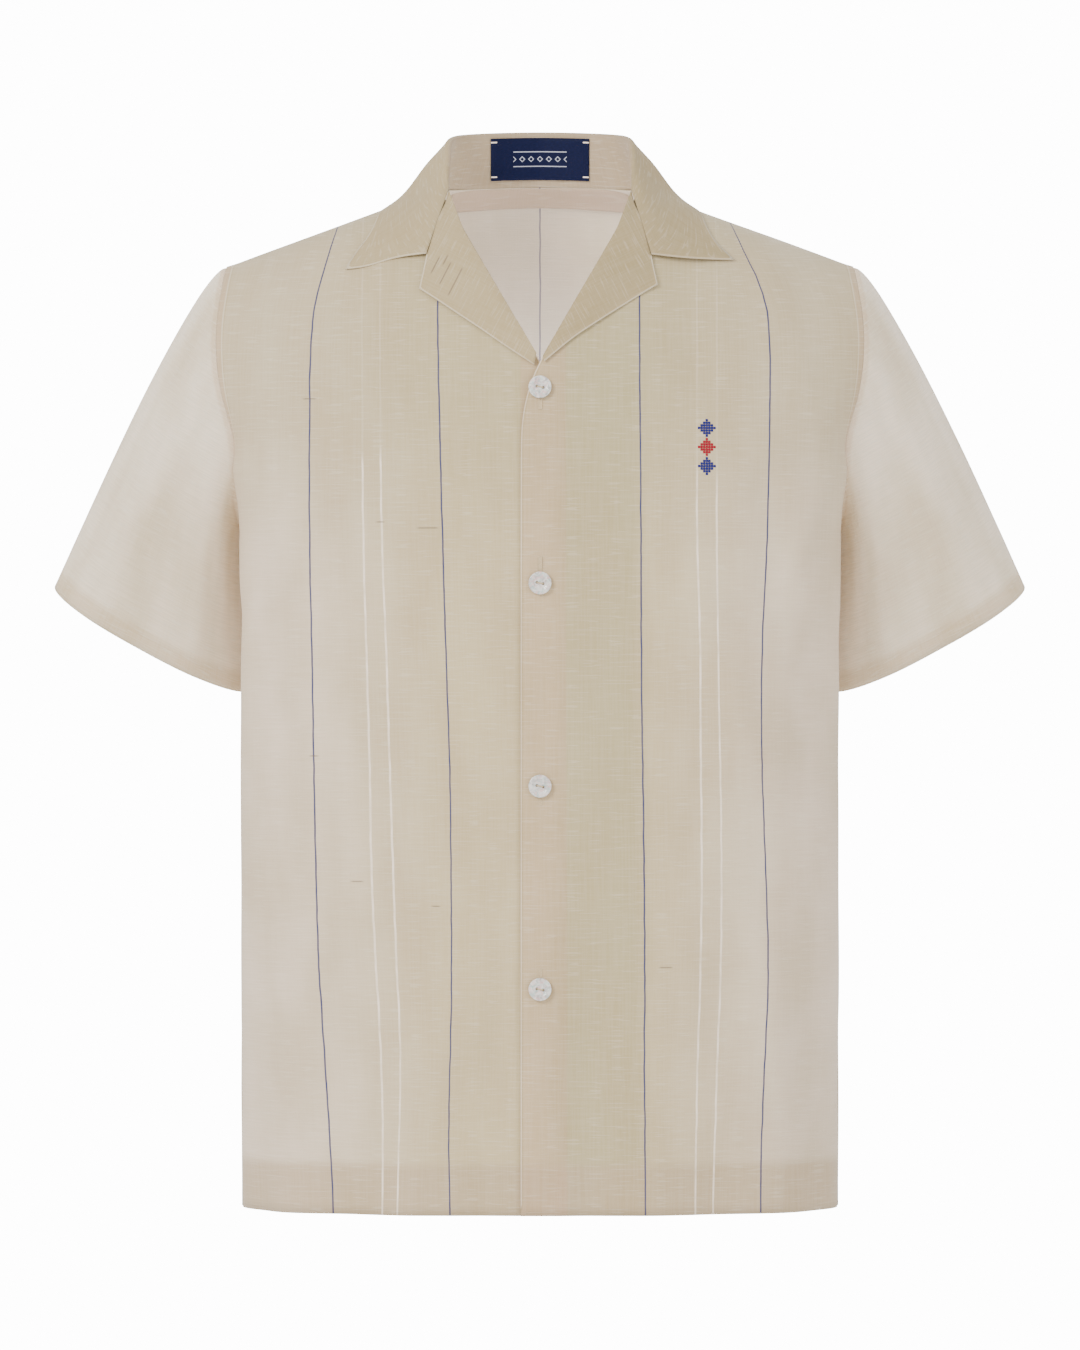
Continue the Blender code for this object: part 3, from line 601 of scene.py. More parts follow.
for node in ("front_left", "front_right", "back"):
    points, corners = points_of(CLOTH[node]), corner_points(CLOTH[node])
    across = np.array([woven_place(node, x, z) for x, _, z in points])
    map_cloth(CLOTH[node], across[corners], points[corners, 2])
    print(f"{node}: {np.ptp(across):.0f} mm across its weave")

# %% [markdown]
# The sleeve is cut with its length along the warp, so its weft threads run square to the arm. The lapel is
# the front's own cloth turned over a slanting line, which turns its weft to a steep slope.

# %% Map the sleeves and lapels
ARM = np.array([0.46, 0.14, -0.877])  # down the left arm
SLEEVE_ROUND = 420.0  # round the middle of a sleeve, in millimetres
LAPEL_SLOPE = math.radians(63)
LAPEL_WEFT = np.array([math.cos(LAPEL_SLOPE), 0.0, math.sin(LAPEL_SLOPE)])
LAPEL_POINT = (2 / 9, 1)  # on the lapel's grid
for side, name in ((1, "left"), (-1, "right")):
    sleeve = CLOTH[f"sleeve_{name}"]
    points = (points_of(sleeve) * (side, 1, 1))[corner_points(sleeve)]
    map_cloth(sleeve, grid_places(sleeve)[:, 0] * SLEEVE_ROUND, points @ ARM)
    lapel = CLOTH[f"lapel_{name}"]
    subdivide(lapel, 3, [LAPEL_POINT])
    points = (points_of(lapel) * (-side, 1, 1))[corner_points(lapel)]
    map_cloth(lapel, points @ LAPEL_WEFT, points @ np.cross(LAPEL_WEFT, (0.0, 1.0, 0.0)))
    print(f"{name}: {len(sleeve.data.vertices)} points in the sleeve, {len(lapel.data.vertices)} in the lapel")

# %% [markdown]
# The collar is one band whose weft follows the fold all the way round, so its map is its own grid, as long
# and as deep as the collar when it is pressed flat. The band inside the neck and the label are the same.

# %% Map the collar, the neck band and the label
LABEL_LENGTH, LABEL_DEPTH = 66.0, 29.0
# Columns: length and depth in millimetres, and the levels of rounding.
FLAT_BANDS = {
    "collar": (430.0, 105.0, 2), "back_neck_band": (130.0, 9.0, 2), "label": (LABEL_LENGTH, LABEL_DEPTH, 2)
}
GORGE_ROW = 0.25  # the fall's front edges end here, at the gorge
COLLAR_CORNERS = ((0, GORGE_ROW), (1, GORGE_ROW))
for node, (length, depth, levels) in FLAT_BANDS.items():
    subdivide(CLOTH[node], levels, COLLAR_CORNERS if node == "collar" else ())
    places = grid_places(CLOTH[node])
    map_cloth(CLOTH[node], places[:, 0] * length, places[:, 1] * depth)
    print(f"{node}: {length} by {depth} mm when pressed flat")

# %% [markdown]
# ## Distance from an edge
# Hems, turned edges and seam allowances follow the cloth's edges at a fixed distance. Each point stores how
# far it is from the nearest such edge, and the material draws the bands from that.

# %% Measure distances from edges
STEPS_ON_EDGE = 4  # places that stand for each edge between two points


def measure_edge(piece, name, wanted):
    """Stores each point's distance in metres from the open edges that are wanted by their place on the
    piece's grid."""
    edges = open_edges(piece, wanted)
    tree = kdtree.KDTree(len(edges) * STEPS_ON_EDGE)
    for i, ((_, a), (_, b)) in enumerate(edges):
        for j in range(STEPS_ON_EDGE):
            tree.insert(a.lerp(b, j / STEPS_ON_EDGE), i * STEPS_ON_EDGE + j)
    tree.balance()
    distances = [tree.find(vertex.co)[2] for vertex in piece.data.vertices]
    layer = piece.data.attributes.new(name, "FLOAT", "POINT")
    layer.data.foreach_set("value", distances)


def at_side(column):
    """Whether a column is at the left or right of a piece's grid."""
    return column < FIRST or column > LAST


ARMPIT_ROW, TURN_ROW = 7 / 21, 0.8  # the armhole is above the one, and the lapel turns over above the other
for name in ("left", "right"):
    front, sleeve, lapel = (CLOTH[f"{part}_{name}"] for part in ("front", "sleeve", "lapel"))
    measure_edge(front, "edge", lambda column, row: column < FIRST and row < TURN_ROW)
    measure_edge(front, "armhole", lambda column, row: column > LAST and row > ARMPIT_ROW)
    measure_edge(front, "side", lambda column, row: column > LAST and row < ARMPIT_ROW)
    measure_edge(sleeve, "armhole", lambda column, row: row > LAST)
    measure_edge(sleeve, "edge", lambda column, row: row < FIRST)
    measure_edge(lapel, "edge", lambda column, row: row > LAST)
measure_edge(CLOTH["back"], "armhole", lambda column, row: at_side(column) and row > ARMPIT_ROW)
measure_edge(CLOTH["back"], "side", lambda column, row: at_side(column) and row < ARMPIT_ROW)
measure_edge(CLOTH["collar"], "edge", lambda column, row: row < FIRST or at_side(column) and row < GORGE_ROW)
for node, piece in CLOTH.items():
    print(f"{node}: measured from", sorted({"armhole", "side", "edge"} & set(piece.data.attributes.keys())))

# %% [markdown]
# ## The sheer cloth
# The cloth is a plain weave of silk and pineapple fibre. Each thread is about a quarter of a millimetre, too
# fine to show from here, so the weft is drawn in bundles about a millimetre wide, some darker and some
# lighter than the cloth, with a few thick slubs. These helpers build such patterns from noise and lines.

# %% Pattern helpers
SOFT = 0.25 * MM  # how softly a drawn line ends


def math_node(tree, operation, first, second=0.0, third=0.0):
    settings = {"operation": operation}
    return add(tree, "ShaderNodeMath", settings, i0=first, i1=second, i2=third).outputs[0]


def ramp(tree, value, low, high, start=0.0, end=1.0, kind="LINEAR"):
    """The value mapped from low and high to start and end, and held there beyond them."""
    spans = {"From_Min": low, "From_Max": high, "To_Min": start, "To_Max": end}
    return add(tree, "ShaderNodeMapRange", {"interpolation_type": kind}, Value=value, **spans).outputs[0]


def places_in_cloth(tree):
    """The places across and along the flat cloth."""
    uv = add(tree, "ShaderNodeUVMap", {"uv_map": "cloth"})
    return add(tree, "ShaderNodeSeparateXYZ", i0=uv.outputs[0]).outputs[:2]


def threads(tree, u, v, wide, high, low=0.35, top=0.65, detail=2.0):
    """Noise stretched to threads of this width and height, as a value from 0 to 1."""
    across, along = math_node(tree, "DIVIDE", u, wide), math_node(tree, "DIVIDE", v, high)
    place = add(tree, "ShaderNodeCombineXYZ", X=across, Y=along)
    flat = {"noise_dimensions": "2D"}
    grain = add(tree, "ShaderNodeTexNoise", flat, Vector=place.outputs[0], Scale=1.0, Detail=detail)
    return ramp(tree, grain.outputs[0], low, top)


def line_at(tree, value, middle, width, soft=SOFT):
    """1 within half a width of the middle, and 0 outside, with soft sides."""
    off = math_node(tree, "ABSOLUTE", math_node(tree, "SUBTRACT", value, middle))
    return ramp(tree, off, width / 2 - soft / 2, width / 2 + soft / 2, 1.0, 0.0, "SMOOTHSTEP")


def product(tree, *values):
    result = values[0]
    for value in values[1:]:
        result = math_node(tree, "MULTIPLY", result, value)
    return result


def tint(tree, colour, towards, share):
    """The colour mixed towards another one by a share."""
    towards = linear(towards) if isinstance(towards, str) else towards
    return add(tree, "ShaderNodeMix", {"data_type": "RGBA"}, Factor=share, i6=colour, i7=towards).outputs[2]


# %% [markdown]
# One function makes all the sheer cloth, because every piece is cut from the same length. What differs is
# handed in: the lines woven into it, the bands where a hem or a seam lies behind, bands of painted shade,
# and how warm it looks, since two layers let less light through and turn it yellower. The fronts are also
# painted lighter at the sides and darker and warmer down the middle, as light and shade. A sheen stands for
# the fine fibres, and nothing in it is glossy. Only the sleeves hang clear of other cloth, so only there does
# subsurface scattering let some light through the wall.

# %% Choose the cloth's tones and threads
CREAM, CREAM_MIDDLE_SHADED = "#DECAB5", "#C5B38A"  # at the sides, and darker and warmer down the middle, painted light and shade
CREAM_SLEEVE, CREAM_DOUBLED = "#F6DEC1", "#A7956F"  # one layer alone, and the collar's two layers
CREAM_NECK, CREAM_INSIDE = "#BCA188", "#DAC8B1"  # the neck seam's layers and the back, seen from inside
DEEP, LIGHT = "#A8926A", "#E6DAC5"  # darker and lighter threads
OLIVE_SHADE = "#A69A72"  # painted shade over the chest and beside the placket
WARM = "#BFA07C"  # a hem's two layers
ROSE = "#BC9577"  # the seam allowance at the armhole
HEM_TONE, COLLAR_SHADE_TONE, STAND_TONE = "#B39C7E", "#92815B", "#A98F80"  # the body's hem, painted shade on one half of the collar, and the collar's stand
BLUE, WHITE, BROWN = "#393B62", "#FFEDDA", "#635344"
# Columns: whether across and along trade places, width and height, the span of noise that shows, its detail,
# the tone and its share, and the relief.
GRAIN = (
    (False, 38 * MM, 100 * MM, 0.3, 0.7, 2.0, DEEP, 0.38, 0.0),  # slow clouds, longer down the cloth
    (False, 24 * MM, 0.85 * MM, 0.3, 0.7, 2.0, DEEP, 0.15, 1.0),  # bundles of weft
    (True, 1.445 * MM, 38.4 * MM, 0.42, 0.75, 2.0, LIGHT, 0.06, 0.0),  # longer, paler bundles of weft
    (False, 1.1 * MM, 40 * MM, 0.35, 0.65, 2.0, LIGHT, 0.07, 0.5),  # bundles of warp
    (False, 14 * MM, 1.0 * MM, 0.67, 0.74, 0.0, LIGHT, 0.17, 1.6),  # slubs
)
MIDDLE_HALF, SIDE_START = 50 * MM, 185 * MM  # the middle's painted shade ends here, and the sides' lighter tone starts there
BLUE_WIDTH, WHITE_WIDTH = 1.1 * MM, 1.3 * MM
WANDER, WANDER_LENGTH = 0.7 * MM, 25 * MM  # how far a woven line strays, and in what length
LINE_SHIFT = 0.35 * MM  # half of that, which keeps a line's mean place
UNEVEN = (30 * MM, 13 * MM, 0.2, 0.75)  # a woven line is stronger and weaker in lengths like these
CHANGE_WHITE, CHANGE_BLUE = 0.6, 0.15  # and by these shares
LINE_END, FAINT = 6, 0.16  # a white line fades over this many millimetres each way, to this strength
STITCHED = 2  # a band whose sides are harder than this, in millimetres, is a ridge as well as a tone
print("patterns in the cloth:", len(GRAIN))

# %% [markdown]
# The function lays one thing over another: the ground's tone, the bands, the threads, the woven lines and
# the marks. Each adds its tint, and most add a little relief.


# %% Build the cloth's material
def woven_cloth(name, sides, middle, grain=1.0, lines=(), bands=(), marks=(), sheer=0.0):
    """The sheer cloth, with its colours at the sides and down the middle, which differ as painted light and
    shade, and how strongly its threads show.
    Lines are (place, width, colour, strength, top), bands are (source, from, to, colour, strength, softness),
    marks are dark slubs at (u, v, length), and sheer is how much light comes through."""
    made, tree, shader = new_material(
        name, Roughness=0.75, Specular_IOR_Level=0.25, Sheen_Weight=0.15, Sheen_Roughness=0.4,
        Subsurface_Weight=sheer, Subsurface_Radius=(1.0, 0.9, 0.8), Subsurface_Scale=6 * MM,
    )
    u, v = places_in_cloth(tree)
    source = {"u": u, "v": v}
    for attribute in ("armhole", "edge", "side"):
        reader = add(tree, "ShaderNodeAttribute", {"attribute_name": attribute})
        source[attribute] = reader.outputs["Fac"]
    # Painted light and shade: lighter at the sides, darker and warmer down the middle.
    middle_shade = ramp(tree, math_node(tree, "ABSOLUTE", u), MIDDLE_HALF, SIDE_START, 1.0, 0.1, "SMOOTHSTEP")
    colour, relief = tint(tree, linear(sides), middle, middle_shade), 0.0
    for key, start, end, shade, strength, soft in bands:
        band = line_at(tree, source[key], (start + end) / 2 * MM, (end - start) * MM, soft * MM)
        colour = tint(tree, colour, shade, product(tree, band, strength))
        if soft < STITCHED:
            relief = math_node(tree, "MULTIPLY_ADD", band, 1.8, relief)
    for turned, wide, high, low, top, detail, shade, share, height in GRAIN:
        pattern = threads(tree, *((v, u) if turned else (u, v)), wide, high, low, top, detail)
        colour = tint(tree, colour, shade, product(tree, pattern, share * grain))
        if height:
            relief = math_node(tree, "MULTIPLY_ADD", pattern, height, relief)
    wander = math_node(tree, "MULTIPLY_ADD", threads(tree, u, v, 1.0, WANDER_LENGTH, 0.2, 0.8), WANDER, u)
    uneven = threads(tree, u, v, *UNEVEN)
    for place, width, shade, strength, top in lines:
        mask = line_at(tree, wander, place * MM + LINE_SHIFT, width)
        fade = ramp(tree, v, (top - LINE_END) * MM, (top + LINE_END) * MM, 1.0, FAINT)
        change = strength * (CHANGE_WHITE if shade == WHITE else CHANGE_BLUE)
        share = math_node(tree, "MULTIPLY_ADD", uneven, change, strength - change)
        colour = tint(tree, colour, shade, product(tree, mask, fade, share))
        relief = math_node(tree, "MULTIPLY_ADD", mask, 1.5, relief)
    for across, up, length in marks:
        inside_length = line_at(tree, u, across * MM, length * MM, 3 * MM)
        mark = product(tree, inside_length, line_at(tree, v, up * MM, 0.9 * MM, 0.4 * MM), 0.6)
        colour = tint(tree, colour, BROWN, mark)
    link_surface(tree, shader, colour, relief, 0.4, 0.12 * MM)
    return made


# %% [markdown]
# The lines, bands and marks are listed in millimetres of the flat cloth. Blue lines run the whole length.
# The white ones are inlaid thread that all but stops at the chest, on the wearer's left lower than on the
# right. A band starts or ends outside the cloth where only its other side shows.

# %% Make the cloth for each kind of piece
HEM_Z, HEM_DEPTH, CUFF_DEPTH, FELL = -677.0, 33.0, 13.0, 4.0
WHOLE = 900.0  # a height above every piece, for a line that doesn't stop
WHITE_TOPS = {1: -192.0, -1: -179.0}
WOVEN_LINES = []
for side, top in WHITE_TOPS.items():
    WOVEN_LINES += [
        (side * WOVEN[1], BLUE_WIDTH, BLUE, 1.0, WHOLE),
        (side * WOVEN[2], WHITE_WIDTH, WHITE, 0.85, top),
        (side * WOVEN[3], WHITE_WIDTH, WHITE, 0.85, top - 4),
        (side * WOVEN[4], BLUE_WIDTH, BLUE, 1.0, WHOLE),
    ]
DARK_MARKS = (
    (-125, -459, 7), (-104, -224, 5), (80, -515, 8), (-76, -475, 5), (-150, -377, 5), (-150, -143, 8),
    (-75, -228, 12),
)
HEM_BAND = ("v", HEM_Z - 9, HEM_Z + HEM_DEPTH, HEM_TONE, 0.75, 9.0)
ARMHOLE_BANDS = [
    ("armhole", -5.0, FELL, ROSE, 0.4, 1.2),
    ("armhole", FELL, FELL + 0.9, LIGHT, 0.5, 0.4),
    ("armhole", FELL + 1.1, FELL + 2.0, DEEP, 0.4, 0.6),
]
SIDE_SEAM = ("side", 2.4, 3.3, DEEP, 0.6, 0.5)
PLACKET_BAND = ("u", -12.6, 17.0, ROSE, 0.4, 1.5)
UNDERLAP_SHADE = ("u", 10.0, 66.0, OLIVE_SHADE, 0.65, 16.0)  # painted shade, darker and olive beside the placket; the other front's edge lies behind only its first few millimetres
CHEST_SHADE = ("v", -200.0, 200.0, OLIVE_SHADE, 0.6, 160.0)  # painted shade, darker and olive over the shoulders and upper chest
FRONT_EDGE = [("edge", -5.0, 0.7, WHITE, 0.5, 0.4), ("edge", 1.0, 1.7, DEEP, 0.6, 0.4)]
BODY_BANDS = [HEM_BAND, *ARMHOLE_BANDS, SIDE_SEAM]
SLEEVE_BANDS = [("edge", -9.0, CUFF_DEPTH, WARM, 0.65, 8.0), ("armhole", -5.0, FELL, ROSE, 0.5, 3.0)]
BACK_LINES = [line for line in WOVEN_LINES if abs(line[0]) > 80] + [(0.0, BLUE_WIDTH, BLUE, 0.7, WHOLE)]
TURNED_EDGE = [("edge", -5.0, 1.0, LIGHT, 0.45, 0.5), ("edge", 1.2, 2.0, DEEP, 0.4, 0.5)]
COLLAR_PAINTED_SHADE = ("u", -200.0, 190.0, COLLAR_SHADE_TONE, 0.7, 160.0)  # painted shade, darker over the collar's half on the wearer's left, away from the key light
STAND_SHADE = ("v", 68.0, 130.0, STAND_TONE, 0.45, 8.0)  # inside the neck
LAPEL_MARKS = ((-80, 36.4, 12), (-82, 28, 16), (-84, 19.5, 20), (-74, 32, 7))
SHEER = "sheer silk and pineapple cloth, "
DOUBLED = (CREAM_DOUBLED, CREAM_DOUBLED, 0.8, ())
FRONT_CLOTH = woven_cloth(
    SHEER + "fronts", CREAM, CREAM_MIDDLE_SHADED, 1.0, WOVEN_LINES,
    [CHEST_SHADE, UNDERLAP_SHADE, *BODY_BANDS, PLACKET_BAND, *FRONT_EDGE], DARK_MARKS,
)
BACK_CLOTH = woven_cloth(SHEER + "back", CREAM, CREAM, 1.0, BACK_LINES, [CHEST_SHADE, *BODY_BANDS])
BACK_INSIDE = woven_cloth(SHEER + "back from inside", CREAM_INSIDE, CREAM_INSIDE, 0.7, BACK_LINES)
SLEEVE_CLOTH = woven_cloth(SHEER + "sleeves", CREAM_SLEEVE, CREAM_SLEEVE, 1.5, (), SLEEVE_BANDS, sheer=0.45)
COLLAR_CLOTH = woven_cloth(SHEER + "doubled in the collar", *DOUBLED, [COLLAR_PAINTED_SHADE, STAND_SHADE, *TURNED_EDGE])
NECK_CLOTH = woven_cloth(SHEER + "neck seam", CREAM_NECK, CREAM_NECK, 0.6)
LAPEL_CLOTH = woven_cloth(SHEER + "lapels", *DOUBLED, TURNED_EDGE, LAPEL_MARKS)
print("kinds of sheer cloth:", sum(made.name.startswith(SHEER) for made in bpy.data.materials))

# %% [markdown]
# ## The woven label
# The label is a satin tape in navy, so fine that it looks like one colour with a faint twill. It carries
# only two plain rules with a row of small lozenges between them, in pale thread. A white tack holds each
# corner.

# %% Build the label's satin
NAVY, NAVY_LIGHT, PALE_THREAD = "#060B28", "#0E153A", "#BFC1CC"
TWILL = 0.9 * MM  # drawn about four times as coarse as the real twill, so that it shows
SPECKLE = (2.0 * MM, 0.5 * MM)
ROW_LENGTH, RULE_GAP, RULE_WIDTH = 36 * MM, 5.0 * MM, 0.6 * MM  # each rule's distance is from the middle
LOZENGE_PITCH, LOZENGE_PLACE, LOZENGE_WIDTH = 6.0 * MM, 1.7 * MM, 0.7 * MM
TACK_LENGTH, TACK_WIDTH, TACK_IN, TACK_UP = 4.0 * MM, 0.9 * MM, 2.0 * MM, 2.6 * MM  # the last two from a corner


def label_satin():
    made, tree, shader = new_material("navy woven satin tape", Roughness=0.65, Specular_IOR_Level=0.12)
    u, v = places_in_cloth(tree)
    twill = math_node(tree, "PINGPONG", math_node(tree, "DIVIDE", math_node(tree, "ADD", u, v), TWILL), 0.5)
    colour = linear(NAVY)
    for pattern in (twill, threads(tree, u, v, *SPECKLE)):
        colour = tint(tree, colour, NAVY_LIGHT, product(tree, pattern, 0.5))
    end, top = LABEL_LENGTH / 2 * MM, LABEL_DEPTH / 2 * MM
    across = math_node(tree, "SUBTRACT", u, end)
    aside = math_node(tree, "ABSOLUTE", across)
    above = math_node(tree, "ABSOLUTE", math_node(tree, "SUBTRACT", v, top))
    step = math_node(tree, "PINGPONG", across, LOZENGE_PITCH / 2)
    lozenge = line_at(tree, math_node(tree, "ADD", step, above), LOZENGE_PLACE, LOZENGE_WIDTH, 0.3 * MM)
    rules = line_at(tree, above, RULE_GAP, RULE_WIDTH)
    row = product(tree, math_node(tree, "MAXIMUM", lozenge, rules), line_at(tree, across, 0.0, ROW_LENGTH))
    tack = product(
        tree, line_at(tree, aside, end - TACK_IN, TACK_LENGTH), line_at(tree, above, top - TACK_UP, TACK_WIDTH)
    )
    colour = tint(tree, colour, PALE_THREAD, product(tree, row, 0.85))
    relief = math_node(tree, "MULTIPLY_ADD", math_node(tree, "MAXIMUM", row, tack), 2.0, twill)
    link_surface(tree, shader, tint(tree, colour, WHITE, tack), relief)
    return made


LABEL_SATIN = label_satin()
print("label:", LABEL_SATIN.name)

# %% [markdown]
# ## Give the cloth its thickness
# Solidify makes each sheet a real, very thin wall. The outer face stays where it is and the wall grows
# inwards. The back's inner face shows in the neck, and has a material of its own. Each piece then rides on
# the shirt's body, stands for its solid and states the flat size that a cutter would cut.

# %% Finish each piece of cloth
# Columns: material, slot, thickness in mm, flat width and length in mm, and the flat area in square metres.
CUTS = {
    "front_*": (FRONT_CLOTH, "cloth", 0.5, 290, 720, 0.177),
    "back": (BACK_CLOTH, "cloth", 0.5, 535, 720, 0.331),
    "sleeve_*": (SLEEVE_CLOTH, "cloth", 0.5, 460, 230, 0.059),
    "collar": (COLLAR_CLOTH, "cloth", 0.8, 430, 105, 0.0326),
    # The wearer's left lapel takes the collar's cloth, so the collar's painted shade darkens it as well.
    "lapel_left": (COLLAR_CLOTH, "cloth", 0.7, 130, 45, 0.0032),
    "lapel_right": (LAPEL_CLOTH, "cloth", 0.7, 130, 48, 0.0037),
    "back_neck_band": (NECK_CLOTH, "cloth", 0.4, 150, 28, 0.0037),
    "label": (LABEL_SATIN, "label", 0.4, 67, 30, 0.0019),
}
INSIDES = {"back": BACK_INSIDE}


def finish_piece(piece, slot, *nodes):
    """Every piece rides on the shirt's one body and stands for its solids, which are hidden. The slot is not
    used.
    """
    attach(piece, "root")
    if nodes:
        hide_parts(*nodes)


for node, (finish, slot, thickness, width, length, area) in both_sides(CUTS).items():
    piece = CLOTH[node]
    print(f"{node}: {sum(face.area for face in piece.data.polygons):.4f} m2 of cloth, cut {area} m2")
    piece.data.materials.clear()
    for material in (finish, INSIDES.get(node, finish)):
        piece.data.materials.append(material)
    # The inner face takes the second material.
    apply(piece, "SOLIDIFY", thickness=thickness * MM, offset=-1.0, material_offset=1)
    finish_piece(piece, slot, node)

# %% [markdown]
# ## Buttons
# The buttons are cut from shell: a flat disc with a turned rim, a shallow dish and two holes, sewn on with
# thread. One button is modelled lying flat at the origin. A cylinder is a quick start, its face is inset
# and pushed in for the dish, its rim is bevelled, and two thin cylinders cut the holes.

# %% Model one button
BUTTON_RADIUS, BUTTON_THICKNESS = 7.5 * MM, 2.4 * MM
DISH_RADIUS, DISH_DEPTH, DISH_SLOPE, RIM_ROUNDING = 5.0 * MM, 0.7 * MM, 0.9 * MM, 0.45 * MM
HOLE_RADIUS, HOLE_OFFSET = 0.9 * MM, 2.1 * MM
ROUND, HOLE_ROUND = 72, 20


def select_faces(piece, wanted):
    """Selects the faces whose centre and normal are wanted, and enters edit mode."""
    only(piece)
    mode("EDIT")
    bpy.ops.mesh.select_mode(type="FACE")
    bpy.ops.mesh.select_all(action="DESELECT")
    mesh = bmesh.from_edit_mesh(piece.data)
    for face in mesh.faces:
        face.select_set(wanted(face.calc_center_median(), face.normal))
    bmesh.update_edit_mesh(piece.data)


button = shape(
    "cylinder", "button_pattern", vertices=ROUND, radius=BUTTON_RADIUS, depth=BUTTON_THICKNESS,
    location=(0, 0, BUTTON_THICKNESS / 2),
)
select_faces(button, lambda centre, normal: normal.z > 0.9)
bpy.ops.mesh.inset(thickness=BUTTON_RADIUS - DISH_RADIUS)
bpy.ops.mesh.inset(thickness=DISH_SLOPE)
bpy.ops.transform.translate(value=(0, 0, -DISH_DEPTH))
mode("OBJECT")
apply(button, "BEVEL", width=RIM_ROUNDING, segments=3, limit_method="ANGLE", angle_limit=math.radians(30))
for side in (-1, 1):
    place = (side * HOLE_OFFSET, 0, 0)
    drill = shape("cylinder", "drill", vertices=HOLE_ROUND, radius=HOLE_RADIUS, depth=8 * MM, location=place)
    apply(button, "BOOLEAN", operation="DIFFERENCE", object=drill, solver="EXACT")
    bpy.data.objects.remove(drill, do_unlink=True)
only(button)
bpy.ops.object.shade_smooth_by_angle(angle=math.radians(35))
print("button faces:", len(button.data.polygons))

# %% [markdown]
# The thread comes up through one hole and goes down through the other. A short bar is extruded down at both
# ends and rounded, which gives a staple of thread.

# %% Model the button's thread
THREAD, THREAD_RAISE = 0.9 * MM, 0.2 * MM
over_dish = (0, 0, BUTTON_THICKNESS - DISH_DEPTH + THREAD_RAISE)
staple = shape("cube", "thread_pattern", size=THREAD, location=over_dish)
for side in (-1, 1):
    select_faces(staple, lambda centre, normal: normal.x * side > 0.9)
    for reach in (HOLE_OFFSET - THREAD, THREAD):
        bpy.ops.mesh.extrude_region_move(TRANSFORM_OT_translate={"value": (side * reach, 0, 0)})
    mode("OBJECT")
    select_faces(staple, lambda centre, normal: normal.z < -0.9 and centre.x * side > HOLE_OFFSET - THREAD / 2)
    bpy.ops.mesh.extrude_region_move(TRANSFORM_OT_translate={"value": (0, 0, -BUTTON_THICKNESS)})
    mode("OBJECT")
apply(staple, "SUBSURF", levels=2, render_levels=2)
bpy.ops.object.shade_smooth()
print("thread faces:", len(staple.data.polygons))

# %% [markdown]
# ## Buttonholes
# Each buttonhole is an upright slot edged with close stitches, half hidden by its button. It is a flat bar
# whose face is inset and pushed in for the slot, then rounded.

# %% Model one buttonhole
HOLE_LENGTH, HOLE_WIDTH, HOLE_HEIGHT = 21 * MM, 3.0 * MM, 0.5 * MM
STITCHED_SHARE, SLOT_SHARE = 0.36, 0.7  # stitches of the width on each side, and the slot of the height
buttonhole = shape("cube", "buttonhole_pattern", (HOLE_WIDTH, HOLE_LENGTH, HOLE_HEIGHT), size=1.0)
select_faces(buttonhole, lambda centre, normal: normal.z > 0.9)
bpy.ops.mesh.inset(thickness=HOLE_WIDTH * STITCHED_SHARE)
bpy.ops.transform.translate(value=(0, 0, -HOLE_HEIGHT * SLOT_SHARE))
bpy.ops.mesh.select_all(action="SELECT")
bpy.ops.mesh.subdivide(number_cuts=2)
mode("OBJECT")
apply(buttonhole, "BEVEL", width=0.25 * MM, segments=2, limit_method="ANGLE", angle_limit=math.radians(40))
apply(buttonhole, "SUBSURF", levels=1, render_levels=1)
bpy.ops.object.shade_smooth()
print("buttonhole faces:", len(buttonhole.data.polygons))

# %% [markdown]
# ## Mother of pearl and thread
# Mother of pearl is layers of shell, ground flat and polished. That gives a clear gloss over a cloudy white
# with pale pink and green where the layers run out. The thread is matt cotton with a twist.

# %% Build the pearl and the thread
PEARL, PEARL_SHADE, PEARL_PINK, PEARL_GREEN = "#DCD8D2", "#8F8A88", "#DCAFAC", "#9FBFB6"
PEARL_GRAIN, TWIST = 260.0, 1500.0  # per metre: clouds of about 4 mm, and a thread's twist of 0.7 mm


def pearl():
    made, tree, shader = new_material(
        "polished mother of pearl", Roughness=0.22, IOR=1.53, Coat_Weight=0.6, Coat_Roughness=0.08,
        Subsurface_Weight=0.08, Subsurface_Radius=(1.0, 0.9, 0.9), Subsurface_Scale=1.0 * MM,
    )
    where = add(tree, "ShaderNodeTexCoord").outputs["Object"]
    clouds = [
        add(tree, "ShaderNodeTexNoise", Vector=where, Scale=PEARL_GRAIN * scale, Detail=3.0, Distortion=warp)
        for scale, warp in ((1.0, 1.5), (0.7, 2.5), (1.6, 1.0))
    ]
    colour = linear(PEARL)
    for cloud, shade, low in zip(clouds, (PEARL_SHADE, PEARL_PINK, PEARL_GREEN), (0.42, 0.5, 0.52)):
        colour = tint(tree, colour, shade, ramp(tree, cloud.outputs[0], low, 0.7, 0.0, 0.8))
    link_surface(tree, shader, colour)
    return made


def thread(name, shade, dark):
    made, tree, shader = new_material(name, Roughness=0.8, Specular_IOR_Level=0.2, Sheen_Weight=0.1)
    where = add(tree, "ShaderNodeTexCoord").outputs["Object"]
    twist = add(tree, "ShaderNodeTexNoise", Vector=where, Scale=TWIST, Detail=1.0).outputs[0]
    link_surface(tree, shader, tint(tree, linear(shade), dark, product(tree, twist, 0.8)), twist)
    return made


PEARL_FINISH = pearl()
CREAM_THREAD = thread("cream cotton thread", "#CDB895", "#A08A66")
print("sewn with:", PEARL_FINISH.name, "and", CREAM_THREAD.name)

